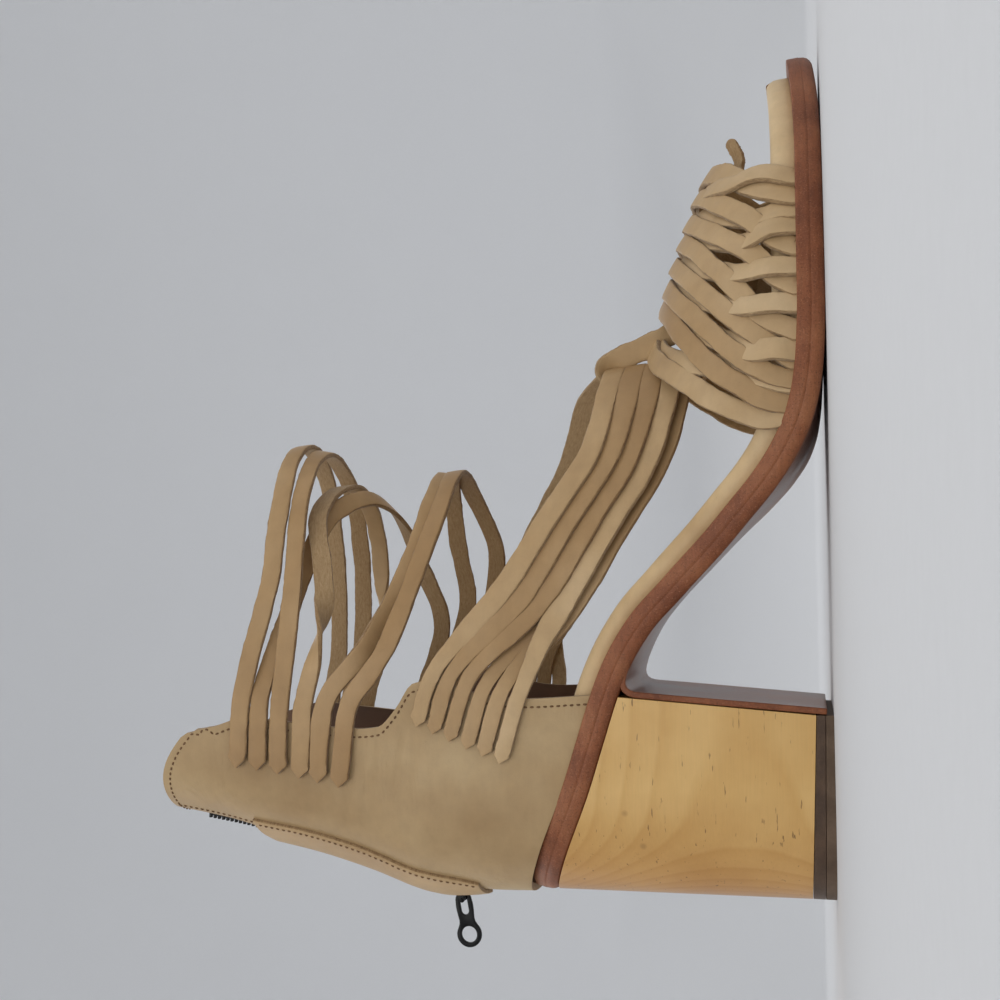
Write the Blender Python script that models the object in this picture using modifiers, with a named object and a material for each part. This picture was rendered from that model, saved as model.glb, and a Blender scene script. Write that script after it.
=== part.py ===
"""Block heel sandal, right shoe: leather sole, wooden block heel, woven vamp, tall heel cup and loose straps.

Units: sizes below are millimetres, turned into metres by MM when a mesh is made.
Axes: +X toe, +Y the shoe's medial side, +Z up. The floor is z = 0 and the origin lies on it,
under the middle of the whole shoe's box.
"""
import math

import bmesh
import bpy
import numpy as np

MM = 0.001
GAP = 0.3                    # between curved pieces that touch

# ---- driving sizes ----
HEEL_CURVE_X = -80.6         # where the round back of the heel seat begins
HEEL_BACK_X = -109.1         # rearmost point of the sole
TOE_X = 126.9                # foremost point of the sole
OUTSOLE_T = 3.1
MIDSOLE_T = 3.2
DECK_T = OUTSOLE_T + MIDSOLE_T + 2 * GAP      # from the floor side up to where footbed and upper stand
OUTSOLE_INSET = (0.4, 0.4)   # how far each layer lies inside the sole's outline at the heel and at the toe
MIDSOLE_INSET = (0.0, 0.0)
FOOTBED_INSET = (3.0, 3.8)
HEEL_ROUNDNESS = 2.3         # power of the superellipse at the back of the heel and of the cup
BREAST_X = -54.0             # front face of the heel block at the seat
BREAST_LEAN = 3.6            # how far that face runs back by the floor
HEEL_INSET = 0.9             # of the block, inside the sole's outline
HEEL_TAPER = 1.6             # per side, from seat to floor
HEEL_BACK_LEAN = 1.0         # how far the back runs forward by the floor
LIFT_FRONT = 4.0             # thickness of the top lift
LIFT_BACK = 6.0
COVER_T = 1.6                # leather flap down the heel breast
COVER_HALF = 26.4
COVER_MIDDLE = -0.8
QUARTER_T = 2.0
QUARTER_SEAT = 0.25          # the cup's lower edge over the deck
CORNER_DROP = 3.0            # the cup's top front corners lie this much lower
VAMP_T = 2.4
VAMP_INSET = 0.2
VAMP_SEAT = 0.1              # the vamp's lower edges over the deck
STRAP_W = 4.8
STRAP_END_W = 3.7            # where the instep straps lie side by side on the heel cup
STRAP_T = 1.7
STRAP_PROUD = GAP + STRAP_T / 2 + 0.1         # a strap's middle over the face it is glued to
SLIT_Z = 103.0               # lower end of the zip's gap
SLIT_LOW = 2.4               # half its width there
SLIT_HIGH = 5.2              # half its width at the top edge

# The sole's centre line: x, height of the underside, rise of the medial edge over the lateral one.
PROFILE = (
    # x,     z,    rise
    (-109.1, 73.8, 0.0),
    (-97.0, 68.9, 0.0),
    (-80.0, 62.2, 0.2),
    (-66.0, 57.9, 0.6),
    (-53.0, 54.1, 1.4),
    (-46.0, 51.4, 2.0),
    (-37.0, 46.5, 3.4),
    (-28.0, 39.0, 4.8),
    (-18.0, 29.6, 4.6),
    (-9.0, 21.3, 3.6),
    (-2.0, 14.7, 2.4),
    (6.0, 8.4, 1.0),
    (14.0, 4.0, 0.2),
    (22.0, 1.7, 0.0),
    (32.0, 0.5, 0.0),
    (45.0, 0.0, 0.0),
    (86.0, 0.0, 0.0),
    (104.0, 0.5, 0.0),
    (118.0, 1.4, 0.0),
    (126.9, 2.2, 0.0),
)

# The sole's outline ahead of the heel seat: x, lateral edge, medial edge.
OUTLINE = (
    # x,     lateral, medial
    (-80.6, -28.2, 27.0),
    (-62.0, -28.8, 26.8),
    (-48.0, -28.8, 26.2),
    (-33.0, -30.2, 25.8),
    (-18.0, -33.2, 27.2),
    (-3.0, -37.6, 30.0),
    (12.0, -41.4, 33.6),
    (24.0, -43.0, 37.0),
    (37.0, -42.8, 40.6),
    (50.0, -41.0, 42.8),
    (62.0, -38.2, 43.4),
    (76.0, -33.6, 42.0),
    (90.0, -27.0, 39.2),
    (102.0, -19.4, 36.2),
    (111.0, -12.6, 32.8),
    (118.0, -6.2, 29.2),
    (123.0, -0.2, 25.2),
    (125.6, 4.6, 21.2),
    (126.9, 10.0, 16.0),
)

# The heel cup: height, rearmost x, half width, front edge x.
CUP = (
    # z,    back,   half, front
    (60.0, -108.6, 27.6, -53.6),
    (80.0, -109.0, 28.4, -54.8),
    (92.0, -109.4, 28.6, -53.4),
    (104.0, -109.4, 28.4, -50.4),
    (109.0, -109.0, 28.2, -51.4),
    (114.0, -107.9, 28.0, -58.4),
    (119.0, -106.3, 27.8, -63.2),
    (125.0, -104.4, 27.8, -63.8),
    (143.0, -100.0, 28.2, -62.6),
    (158.0, -97.2, 29.0, -61.6),
    (168.0, -95.0, 29.6, -64.4),
    (186.0, -92.2, 30.2, -66.0),
)
CUP_TOP_FRONT = 164.0
CUP_TOP_BACK = 184.0
CUP_TOP_SPAN = (-58.0, -88.4)                 # x between which the top edge rises
CUP_ROUND = 28.0             # depth of the cup's round back
CUP_FLARE = 0.012            # widening towards the front edges
# The cup's columns on each side, from the zip to the front edge, and its rows from foot to top.
CUP_TURNS = (0.24, 0.42, 0.6, 0.8, 1.0, 1.25, 1.5, 1.75, 2.0)
CUP_SHARES = (0.0, 0.11, 0.22, 0.31, 0.38, 0.44, 0.5, 0.58, 0.68, 0.78, 0.88, 0.95, 1.0)
SLIT_SHARE = 0.22            # the zip's gap opens above this row

# The vamp's edges, front to back: share of the way, crest x, crest z, lateral foot x, medial foot x.
VAMP = (
    # way, crest, height, lateral, medial
    (0.0, 93.0, 31.8, 82.0, 95.0),
    (0.35, 78.0, 36.8, 59.0, 72.0),
    (0.7, 62.5, 42.0, 33.0, 46.0),
    (1.0, 49.6, 45.0, 13.0, 22.0),
)

# The strap's loop from under the vamp round the instep straps: x and height of its middle line.
LOOP = (
    # x, z
    (56.0, 38.2),
    (51.6, 38.6),
    (47.0, 40.4),
    (45.2, 46.0),
    (43.4, 56.6),
    (39.4, 61.6),
    (34.2, 62.6),
    (30.4, 59.6),
    (30.4, 50.0),
    (31.0, 40.0),
    (33.8, 32.6),
    (40.6, 30.2),
    (48.0, 32.0),
    (55.0, 36.2),
)
LOOP_Y = -0.4
LOOP_W = 5.6
LOOP_T = 1.5

# The weave's cut strap end, standing out at the front of the vamp.
CUT_END = (
    # x, y, z, width
    (86.0, -5.0, 26.2, 4.8),
    (91.0, -4.8, 25.8, 4.8),
    (95.0, -4.4, 24.6, 4.8),
    (99.6, -4.0, 22.8, 3.6),
)
CUT_END_T = 1.6

# Ankle straps, as loops round the ankle: how far each lies inside the others, apex x, then the height of
# its middle line at each place of ANKLE_PLACES, from the lateral end over the apex to the medial end.
ANKLE = (
    # inside, apex, end, edge, ahead, side, turn, bend, brow, apex, brow, bend, turn, side, ahead, edge, end
    (0.0, 17.5, 159.2, 158.2, 155.8, 150.2, 150.4, 150.8, 151.8, 152.2,
     152.6, 153.0, 153.2, 153.0, 153.2, 155.6, 157.0),
    (2.6, 1.5, 153.2, 152.8, 150.4, 147.0, 143.5, 140.5, 136.5, 131.5,
     128.5, 125.5, 122.0, 117.0, 119.0, 124.4, 127.0),
    (0.0, 15.5, 147.2, 146.9, 145.2, 143.9, 144.8, 144.8, 145.6, 146.0,
     145.8, 145.2, 144.6, 144.6, 145.4, 149.0, 151.0),
    (0.0, 5.0, 141.0, 140.0, 136.6, 134.8, 137.2, 141.0, 140.0, 137.6,
     137.2, 137.0, 137.2, 138.0, 139.4, 143.0, 145.0),
    (2.0, 8.0, 135.6, 134.4, 125.0, 115.0, 109.8, 107.4, 107.2, 107.6,
     109.0, 111.0, 110.8, 108.6, 113.2, 118.6, 121.0),
    (0.0, 4.0, 129.6, 127.4, 117.4, 110.0, 104.6, 100.2, 99.4, 99.8,
     100.0, 99.0, 96.0, 99.0, 107.6, 112.6, 115.0),
)
ANKLE_END_X = (-75.0, -75.6, -76.4, -77.4, -78.4, -79.4)
# Places along one side of a loop: x, or x behind the apex, and the distance from the middle plane.
ANKLE_PLACES = (
    # name, x, from_apex, half
    ("ahead", -45.0, False, 30.0),
    ("side", 36.0, True, 27.8),
    ("turn", 22.0, True, 24.0),
    ("bend", 10.0, True, 18.5),
    ("brow", 2.5, True, 9.0),
)
# Instep straps: middle line of the uppermost and of the lowest one, from the lateral end to the apex;
# y is a share of STRAP_HALF. The medial side mirrors it.
INSTEP_TOP = (
    # x, y, z
    (-62.6, -1.0, 107.4),
    (-49.4, -1.0, 103.8),
    (-43.4, -1.0, 99.2),
    (-37.4, -0.98, 94.0),
    (-27.0, -0.94, 84.6),
    (-8.0, -0.86, 73.2),
    (13.0, -0.7, 60.6),
    (29.0, -0.4, 57.8),
    (36.0, 0.0, 57.2),
)
INSTEP_BOTTOM = (
    # x, y, z
    (-71.6, -1.0, 84.6),
    (-52.6, -1.0, 79.0),
    (-47.2, -1.0, 76.0),
    (-41.4, -0.98, 72.0),
    (-30.0, -0.94, 64.6),
    (-10.0, -0.86, 53.0),
    (11.0, -0.7, 42.4),
    (32.0, -0.4, 39.6),
    (38.2, 0.0, 39.0),
)
# Where each instep strap runs: share of the way from top to bottom at the cup and in the free bundle,
# and how far it lies behind the outer layer there.
INSTEP = (
    # at_cup, in_bundle, behind
    (0.0, 0.0, 0.0),
    (0.2, 0.333, 0.0),
    (0.4, 0.667, 0.0),
    (0.605, 0.845, 2.7),
    (0.8, 1.0, 0.0),
    (1.0, 1.14, 2.6),
)
STRAP_HALF = 29.0            # half the spread of the instep straps beside the heel cup

# The zip's strips beside the gap: distances of both edges from the gap's edge, depth of the outer or
# inner face inside the cup's outer face, thickness, and the heights of both ends.
TAPE = (-0.9, 7.0, QUARTER_T + GAP + 0.4, 0.7, SLIT_Z + 1.5, 181.0)
TEETH = (-2.1, -0.6, 0.3, 1.8, SLIT_Z + 6.5, 181.5)
GUARD = (0.7, 12.5, -GAP - 0.15, 1.6, 93.4, 158.0)

# The zip's slider and pull tab.
SLIDER_Z = 104.0
SLIDER_SIZE = (2.0, 5.0, 8.4)
HINGE = (-113.7, 102.8)      # x, z of the bar that the tab hangs on
BAR_R = 0.45
EAR_Y = 1.45                 # middle of each ear that holds the bar
EAR_W = 0.9
EAR_H = 2.6
EAR_PAST = 1.1               # how far the ears run past the bar
TAB_LENGTH = 13.6            # hinge to tip
TAB_T = 1.1
TAB_DROOP = 11.0             # degrees below level
TAB_HEAD_R = 1.7
SLOT_R = 0.8
SLOT_LENGTH = 3.6
RING_R = 3.5
RING_HOLE = 2.0
# The tab's edge between head and ring: distance from the hinge, half width.
TAB_NECK = (
    (2.2, 1.9),
    (5.0, 2.1),
    (7.2, 1.7),
)

LEATHER = (0.46, 0.33, 0.21)
EDGE_BROWN = (0.16, 0.065, 0.035)
SOLE_BROWN = (0.13, 0.075, 0.055)
PINE = (0.53, 0.35, 0.145)
LIFT_BROWN = (0.075, 0.045, 0.032)
ZIP_BLACK = (0.012, 0.012, 0.013)


def clear_scene():
    for old in list(bpy.data.objects):
        bpy.data.objects.remove(old, do_unlink=True)


def make_material(name, colour, roughness, metallic=0.0):
    material = bpy.data.materials.new(name)
    material.use_nodes = True
    shader = material.node_tree.nodes["Principled BSDF"]
    shader.inputs["Base Color"].default_value = (*colour, 1.0)
    shader.inputs["Roughness"].default_value = roughness
    shader.inputs["Metallic"].default_value = metallic
    return material


def add_object(name, mesh, material, collection):
    mesh.materials.append(material)
    thing = bpy.data.objects.new(name, mesh)
    collection.objects.link(thing)
    mesh.shade_smooth()
    mesh.set_sharp_from_angle(angle=math.radians(40))
    return thing


def smooth(table, at, column):
    """Smooth reading, without overshoot, of one column of a table whose first column rises."""
    xs = [row[0] for row in table]
    ys = [row[column] for row in table]
    if at <= xs[0]:
        return ys[0]
    if at >= xs[-1]:
        return ys[-1]
    i = max(k for k in range(len(xs) - 1) if xs[k] <= at)
    span = xs[i + 1] - xs[i]
    t = (at - xs[i]) / span

    def slope(k):
        if k == 0 or k == len(xs) - 1:
            low = max(k - 1, 0)
            return (ys[low + 1] - ys[low]) / (xs[low + 1] - xs[low])
        before = (ys[k] - ys[k - 1]) / (xs[k] - xs[k - 1])
        after = (ys[k + 1] - ys[k]) / (xs[k + 1] - xs[k])
        if before * after <= 0:
            return 0.0
        return 2 * before * after / (before + after)

    h00 = 2 * t ** 3 - 3 * t ** 2 + 1
    h10 = t ** 3 - 2 * t ** 2 + t
    h01 = -2 * t ** 3 + 3 * t ** 2
    h11 = t ** 3 - t ** 2
    return h00 * ys[i] + h10 * span * slope(i) + h01 * ys[i + 1] + h11 * span * slope(i + 1)


def edges(x, inset=0.0):
    """The sole's lateral and medial edges at x, pulled in by inset."""
    if x < HEEL_CURVE_X:
        depth = HEEL_CURVE_X - HEEL_BACK_X
        share = min((HEEL_CURVE_X - x) / (depth - inset), 1.0)
        shape = (1.0 - share ** HEEL_ROUNDNESS) ** (1 / HEEL_ROUNDNESS)
        lateral = OUTLINE[0][1] + inset
        medial = OUTLINE[0][2] - inset
        middle = (lateral + medial) / 2 * (1 - share)
        half = (medial - lateral) / 2 * shape
        return middle - half, middle + half
    lateral = smooth(OUTLINE, x, 1) + inset
    medial = smooth(OUTLINE, x, 2) - inset
    return lateral, medial


def underside(x, y=0.0):
    """Height of the outsole's lower face."""
    return smooth(PROFILE, x, 1) + smooth(PROFILE, x, 2) * y / 56.0


def lean(x):
    """Slope angle of the sole along its length."""
    return math.atan2(underside(x + 1.5) - underside(x - 1.5), 3.0)


def above(x, y, height):
    """Point that lies height above the outsole's lower face, square to it."""
    angle = lean(x)
    return (x - height * math.sin(angle), y, underside(x, y) + height * math.cos(angle))


def deck(x, y, height):
    """Height over the floor of a face that lies height above the outsole's lower face."""
    return underside(x, y) + height / math.cos(lean(x))


def stations(heel_inset, toe_inset, count=34):
    """x places along a layer of the sole, close together at both round ends."""
    depth = HEEL_CURVE_X - HEEL_BACK_X - heel_inset
    places = [HEEL_CURVE_X - depth * math.sin(math.radians(a)) for a in (88.5, 84, 78, 70, 60, 48, 34, 18)]
    places += list(np.linspace(HEEL_CURVE_X, 96.0, count))
    reach = TOE_X - toe_inset - 96.0
    places += [96.0 + reach * share for share in (0.2, 0.4, 0.57, 0.71, 0.82, 0.9, 0.96, 1.0)]
    return places


def toe_edges(x, inset):
    """Edges for a layer that also ends inset short of the toe."""
    return edges(x + inset * max(0.0, (x - 60.0) / (TOE_X - inset - 60.0)), inset)


def loft(name, rings, material, collection):
    """Closed solid through rings of the same number of points."""
    mesh = bpy.data.meshes.new(name)
    bm = bmesh.new()
    loops = [[bm.verts.new([c * MM for c in point]) for point in ring] for ring in rings]
    for first, second in zip(loops, loops[1:]):
        for i in range(len(first)):
            j = (i + 1) % len(first)
            bm.faces.new((first[i], first[j], second[j], second[i]))
    bm.faces.new(loops[0][::-1])
    bm.faces.new(loops[-1])
    bmesh.ops.recalc_face_normals(bm, faces=bm.faces)
    bmesh.ops.triangulate(bm, faces=bm.faces)
    bm.to_mesh(mesh)
    bm.free()
    return add_object(name, mesh, material, collection)


def shell(name, rows, thickness, offset, material, collection, keep=None):
    """Open grid of points with a Solidify modifier; keep(row, column) says which faces are there."""
    mesh = bpy.data.meshes.new(name)
    bm = bmesh.new()
    grid = [[bm.verts.new([c * MM for c in point]) for point in row] for row in rows]
    for r in range(len(grid) - 1):
        for c in range(len(grid[0]) - 1):
            if keep is None or keep(r, c):
                bm.faces.new((grid[r][c], grid[r][c + 1], grid[r + 1][c + 1], grid[r + 1][c]))
    loose = [v for v in bm.verts if not v.link_faces]
    bmesh.ops.delete(bm, geom=loose, context="VERTS")
    bm.to_mesh(mesh)
    bm.free()
    thing = add_object(name, mesh, material, collection)
    wall = thing.modifiers.new("wall", "SOLIDIFY")
    wall.thickness = thickness * MM
    wall.offset = offset
    wall.use_even_offset = True
    return thing


def sole_layer(name, inset, low, high, material, collection):
    """One layer of the sole between two heights over its underside."""
    rings = []
    heel_inset, toe_inset = inset
    for x in stations(heel_inset, toe_inset):
        here = float(np.interp(x, (-60.0, -10.0), (heel_inset, toe_inset)))
        lateral, medial = toe_edges(x, here)
        rings.append((
            above(x, lateral, low(x)),
            above(x, medial, low(x)),
            above(x, medial, high(x)),
            above(x, lateral, high(x)),
        ))
    return loft(name, rings, material, collection)


def footbed_height(x):
    """Upper face of the footbed over the outsole's underside."""
    thick = np.interp(x, (-109.0, -40.0, 0.0, 40.0, 127.0), (4.6, 4.4, 4.8, 6.0, 6.2))
    return DECK_T + thick


def add_sole(materials, collection):
    seat = OUTSOLE_T + GAP
    sole_layer("outsole", OUTSOLE_INSET, lambda x: 0.0, lambda x: OUTSOLE_T, materials["sole"], collection)
    sole_layer("midsole", MIDSOLE_INSET, lambda x: seat, lambda x: seat + MIDSOLE_T, materials["edge"],
               collection)
    sole_layer("footbed", FOOTBED_INSET, lambda x: DECK_T, footbed_height, materials["leather"], collection)


def lift_top(x):
    return np.interp(x, (HEEL_BACK_X, BREAST_X), (LIFT_BACK, LIFT_FRONT))


def heel_places():
    back = HEEL_BACK_X + HEEL_INSET
    depth = HEEL_CURVE_X - back
    places = [HEEL_CURVE_X - depth * math.sin(math.radians(a)) for a in (86, 80, 72, 62, 50, 36, 18, 0)]
    return places + [-72.0, -63.0, BREAST_X]


def heel_x(x, share):
    """Moves a place of the seat to where it lies at a share of the way down to the floor."""
    front = BREAST_X - BREAST_LEAN * share
    back = HEEL_BACK_X + HEEL_INSET + HEEL_BACK_LEAN * share
    along = (x - HEEL_BACK_X - HEEL_INSET) / (BREAST_X - HEEL_BACK_X - HEEL_INSET)
    return back + along * (front - back)


def add_heel(materials, collection):
    block = []
    lift = []
    for x in heel_places():
        lateral, medial = edges(x, HEEL_INSET)
        low_x = heel_x(x, 0.94)
        floor_x = heel_x(x, 1.0)
        squeeze = 1.0 - HEEL_TAPER / 27.0
        block.append((
            (low_x, lateral * squeeze, lift_top(low_x) + GAP),
            (low_x, medial * squeeze, lift_top(low_x) + GAP),
            (x, medial, underside(x, medial) - GAP),
            (x, lateral, underside(x, lateral) - GAP),
        ))
        lift.append((
            (floor_x, lateral * squeeze, 0.0),
            (floor_x, medial * squeeze, 0.0),
            (low_x, medial * squeeze, lift_top(low_x)),
            (low_x, lateral * squeeze, lift_top(low_x)),
        ))
    loft("heel_block", block, materials["wood"], collection)
    loft("top_lift", lift, materials["lift"], collection)
    rows = []
    for share in (0.0, 0.35, 0.7, 0.97):
        x = heel_x(BREAST_X, share) + GAP
        z = 0.8 + (underside(BREAST_X + 2.0) - 3.4) * (1 - share)
        half = COVER_HALF - HEEL_TAPER * share
        rows.append([(x, y * half + COVER_MIDDLE, z) for y in (-1.0, -0.33, 0.33, 1.0)])
    shell("heel_breast_cover", rows, COVER_T, -1.0, materials["sole"], collection)


def cup_point(turn, z):
    """Outer face of the heel cup; turn runs from -2 at the lateral front edge, by -1 to 1 round the back,
    to 2 at the medial front edge."""
    back = smooth(CUP, z, 1)
    half = smooth(CUP, z, 2)
    front = smooth(CUP, z, 3)
    round_x = back + CUP_ROUND
    if abs(turn) <= 1.0:
        angle = turn * math.pi / 2
        power = 2 / HEEL_ROUNDNESS
        x = round_x - CUP_ROUND * math.cos(angle) ** power if abs(turn) < 1.0 else round_x
        y = half * math.copysign(abs(math.sin(angle)) ** power, turn)
        return (x, y, z)
    share = abs(turn) - 1.0
    x = round_x + share * (front - round_x)
    y = half * (1.0 + CUP_FLARE * share)
    return (x, math.copysign(y, turn), z)


def cup_turn_at(y, z):
    """Turn on the cup's round back that lies y from the middle."""
    half = smooth(CUP, z, 2)
    return math.asin((abs(y) / half) ** (HEEL_ROUNDNESS / 2)) * 2 / math.pi * math.copysign(1.0, y)


def slit_half(z):
    """Half the width of the zip's gap."""
    return float(np.interp(z, (SLIT_Z, CUP_TOP_BACK), (SLIT_LOW, SLIT_HIGH)))


def cup_top(x):
    """Height of the cup's top edge."""
    front, back = CUP_TOP_SPAN
    share = max(0.0, min(1.0, (x - front) / (back - front)))
    return CUP_TOP_FRONT + (CUP_TOP_BACK - CUP_TOP_FRONT) * math.sin(share * math.pi / 2) ** 0.9


def cup_column(side, turn):
    """Points of the cup from foot to top; the column beside the zip has turn 0."""
    near_zip = 0.1
    foot_x, foot_y, _ = cup_point(side * (turn or near_zip), 72.0)
    head_x, _, _ = cup_point(side * (turn or near_zip), 172.0)
    low = deck(foot_x, foot_y, DECK_T) + QUARTER_SEAT
    top = cup_top(head_x)
    if turn == CUP_TURNS[-1]:
        top -= CORNER_DROP
    column = []
    for share in CUP_SHARES:
        z = low + share * (top - low)
        at = side * turn if turn else cup_turn_at(side * slit_half(z), z)
        column.append(cup_point(at, z))
    return column


def add_quarter(materials, collection):
    turns = (0.0, *CUP_TURNS)
    columns = [cup_column(-1, turn) for turn in turns[::-1]] + [cup_column(1, turn) for turn in turns]
    rows = list(zip(*columns))
    gap_column = len(turns) - 1
    gap_row = CUP_SHARES.index(SLIT_SHARE)

    def keep(r, c):
        return c != gap_column or r < gap_row

    shell("quarter", rows, QUARTER_T, 1.0, materials["leather"], collection, keep)


def add_vamp(materials, collection):
    """Arched wall over the forefoot; its sides bow out a little over a plain half ellipse."""
    across = 18
    along = 12
    rows = []
    for i in range(along + 1):
        way = i / along
        crest = smooth(VAMP, way, 1)
        height = smooth(VAMP, way, 2)
        foot_lateral = smooth(VAMP, way, 3)
        foot_medial = smooth(VAMP, way, 4)
        row = []
        for j in range(across + 1):
            angle = math.pi * j / across
            lift = math.sin(angle)
            foot = foot_lateral if j <= across / 2 else foot_medial
            x = crest + (foot - crest) * (1 - lift) ** (0.9 - 0.34 * way)
            lateral, medial = edges(x, VAMP_INSET)
            middle = (lateral + medial) / 2
            reach = (medial - lateral) / 2
            base = deck(x, lateral if j <= across / 2 else medial, DECK_T)
            y = middle - reach * math.copysign(abs(math.cos(angle)) ** 0.97, math.cos(angle))
            row.append((x, y, base + VAMP_SEAT + (height - base) * lift))
        rows.append(row)
    shell("vamp", rows, VAMP_T, -1.0, materials["leather"], collection)


def through(points, count):
    """Even samples of a smooth curve through the points (tuples of any length)."""
    pts = np.array(points, dtype=float)
    steps = np.concatenate([[0.0], np.cumsum(np.linalg.norm(np.diff(pts[:, :3], axis=0), axis=1) ** 0.5)])
    table = [(s, *p) for s, p in zip(steps, pts)]
    dense = [[smooth(table, s, k + 1) for k in range(pts.shape[1])] for s in np.linspace(0, steps[-1], 400)]
    dense = np.array(dense)
    run = np.concatenate([[0.0], np.cumsum(np.linalg.norm(np.diff(dense[:, :3], axis=0), axis=1))])
    at = np.linspace(0, run[-1], count)
    return np.stack([np.interp(at, run, dense[:, k]) for k in range(pts.shape[1])], axis=1)


def strap(name, route, count, thickness, material, collection, upright=(0, 0, 1)):
    """Flat strap along a route of (x, y, z, width, behind); behind moves it square into the loop."""
    line = through(route, count)
    rows = []
    for i, point in enumerate(line):
        ahead = (line[min(i + 1, count - 1)] - line[max(i - 1, 0)])[:3]
        ahead = ahead / np.linalg.norm(ahead)
        up = np.array(upright, dtype=float)
        up = up - ahead * up.dot(ahead)
        up = up / np.linalg.norm(up)
        out = np.cross(ahead, up)
        middle = point[:3] - out * point[4]
        rows.append([tuple(middle - up * point[3] / 2), tuple(middle + up * point[3] / 2)])
    return shell(name, rows, thickness, 0.0, material, collection)


def cup_side(x, z):
    """Half width of the heel cup's outer face at a place on its side."""
    back = smooth(CUP, z, 1)
    front = smooth(CUP, z, 3)
    share = (x - back - CUP_ROUND) / (front - back - CUP_ROUND)
    return smooth(CUP, z, 2) * (1.0 + CUP_FLARE * max(0.0, min(1.4, share)))


def add_ankle_straps(materials, collection):
    edge_x = -58.0
    places = [("end", None, False, None), ("edge", edge_x, False, None), *ANKLE_PLACES]
    for number, (row, end_x) in enumerate(zip(ANKLE, ANKLE_END_X), 1):
        inside, apex_x, *heights = row
        middle = len(heights) // 2
        route = []
        for order, z in enumerate(heights):
            side = -1 if order < middle else 1
            if order == middle:
                route.append((apex_x, 0.0, z, STRAP_W, 0.0))
                continue
            name, x, from_apex, half = places[order if side < 0 else len(heights) - 1 - order]
            if name == "end":
                x = end_x
            if from_apex:
                x = apex_x - x
            if half is None:
                y = cup_side(x, z) + STRAP_PROUD
            else:
                y = half - inside * half / STRAP_HALF
            route.append((x, side * y, z, STRAP_W, 0.0))
        strap(f"ankle_strap_{number}", route, 36, STRAP_T, materials["leather"], collection)


def add_instep_straps(materials, collection):
    for number, (at_cup, in_bundle, behind) in enumerate(INSTEP, 1):
        half = []
        for order, (top, bottom) in enumerate(zip(INSTEP_TOP, INSTEP_BOTTOM)):
            sunk = min(1.0, max(0.0, order - 1.0))
            settled = min(1.0, max(0.0, (order - 1.9) / 2.1))
            mix = at_cup + (in_bundle - at_cup) * settled
            x, y, z = (a + (b - a) * mix for a, b in zip(top, bottom))
            y *= STRAP_HALF
            if order < 2:
                y = -(cup_side(x, z) + STRAP_PROUD)
            width = STRAP_END_W + (STRAP_W - STRAP_END_W) * settled
            half.append((x, y, z, width, behind * sunk))
        back = [(x, -y, z, width, sink) for x, y, z, width, sink in half[-2::-1]]
        strap(f"instep_strap_{number}", half + back, 40, STRAP_T, materials["leather"], collection)


def add_vamp_loop(materials, collection):
    route = [(x, LOOP_Y, z, LOOP_W, 0.0) for x, z in LOOP]
    strap("vamp_loop", route, 36, LOOP_T, materials["leather"], collection, upright=(0, 1, 0))


def add_strap_end(materials, collection):
    route = [(*point, 0.0) for point in CUT_END]
    strap("toe_strap_end", route, 8, CUT_END_T, materials["leather"], collection, upright=(0, 1, 0))


def zip_strip(name, side, sizes, outward, material, collection):
    """Strip along one edge of the zip's gap, its wall growing outward or inward."""
    near, far, depth, thickness, low, high = sizes
    rows = []
    for z in np.linspace(low, high, 12):
        row = []
        for share in (0.0, 0.5, 1.0):
            y = slit_half(z) + near + (far - near) * share
            x, y, z = cup_point(cup_turn_at(side * y, z), z)
            row.append((x + depth, y, z))
        rows.append(row)
    grow = -side if outward else side
    return shell(name, rows, thickness, grow, material, collection)


def joined(name, pieces, material, collection, cutters):
    """One solid from primitives: the first carries a Boolean union with each of the others."""
    first, *others = pieces
    first.name = name
    first.data.name = name
    first.data.materials.append(material)
    for thing in list(first.users_collection):
        thing.objects.unlink(first)
    collection.objects.link(first)
    for other in others:
        for thing in list(other.users_collection):
            thing.objects.unlink(other)
        cutters.objects.link(other)
        other.hide_render = True
        other.display_type = "WIRE"
        union = first.modifiers.new(other.name, "BOOLEAN")
        union.operation = "UNION"
        union.object = other
    return first


def block(name, centre, size):
    bpy.ops.mesh.primitive_cube_add(size=1.0, location=[c * MM for c in centre])
    thing = bpy.context.object
    thing.name = name
    for vertex in thing.data.vertices:
        vertex.co = [vertex.co[k] * size[k] * MM for k in range(3)]
    return thing


def bar(name, centre, radius, length):
    """Round bar along Y."""
    bpy.ops.mesh.primitive_cylinder_add(
        vertices=12, radius=radius * MM, depth=length * MM,
        location=[c * MM for c in centre], rotation=(math.pi / 2, 0.0, 0.0))
    thing = bpy.context.object
    thing.name = name
    return thing


def add_slider(materials, collection, cutters):
    hinge_x, hinge_z = HINGE
    depth, _, _ = SLIDER_SIZE
    plate_x = smooth(CUP, SLIDER_Z, 1) - GAP - depth / 2
    pieces = [block("slider_plate", (plate_x, 0.0, SLIDER_Z), SLIDER_SIZE)]
    ear_start = plate_x - depth / 2 + 0.4
    ear_end = hinge_x - EAR_PAST
    for side in (-1, 1):
        centre = ((ear_start + ear_end) / 2, side * EAR_Y, hinge_z)
        pieces.append(block(f"slider_ear_{side}", centre, (ear_start - ear_end, EAR_W, EAR_H)))
    pieces.append(bar("slider_bar", (hinge_x, 0.0, hinge_z), BAR_R, 2 * EAR_Y + 0.1))
    joined("zip_slider", pieces, materials["zip"], collection, cutters)


def arc(centre, radius, count, start, turn):
    """Points on a circle whose middle lies at (centre, 0); a full turn leaves out its last point."""
    steps = count if turn == 360.0 else count + 1
    angles = [math.radians(start + turn * k / count) for k in range(steps)]
    return [(centre + radius * math.cos(a), radius * math.sin(a)) for a in angles]


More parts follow.
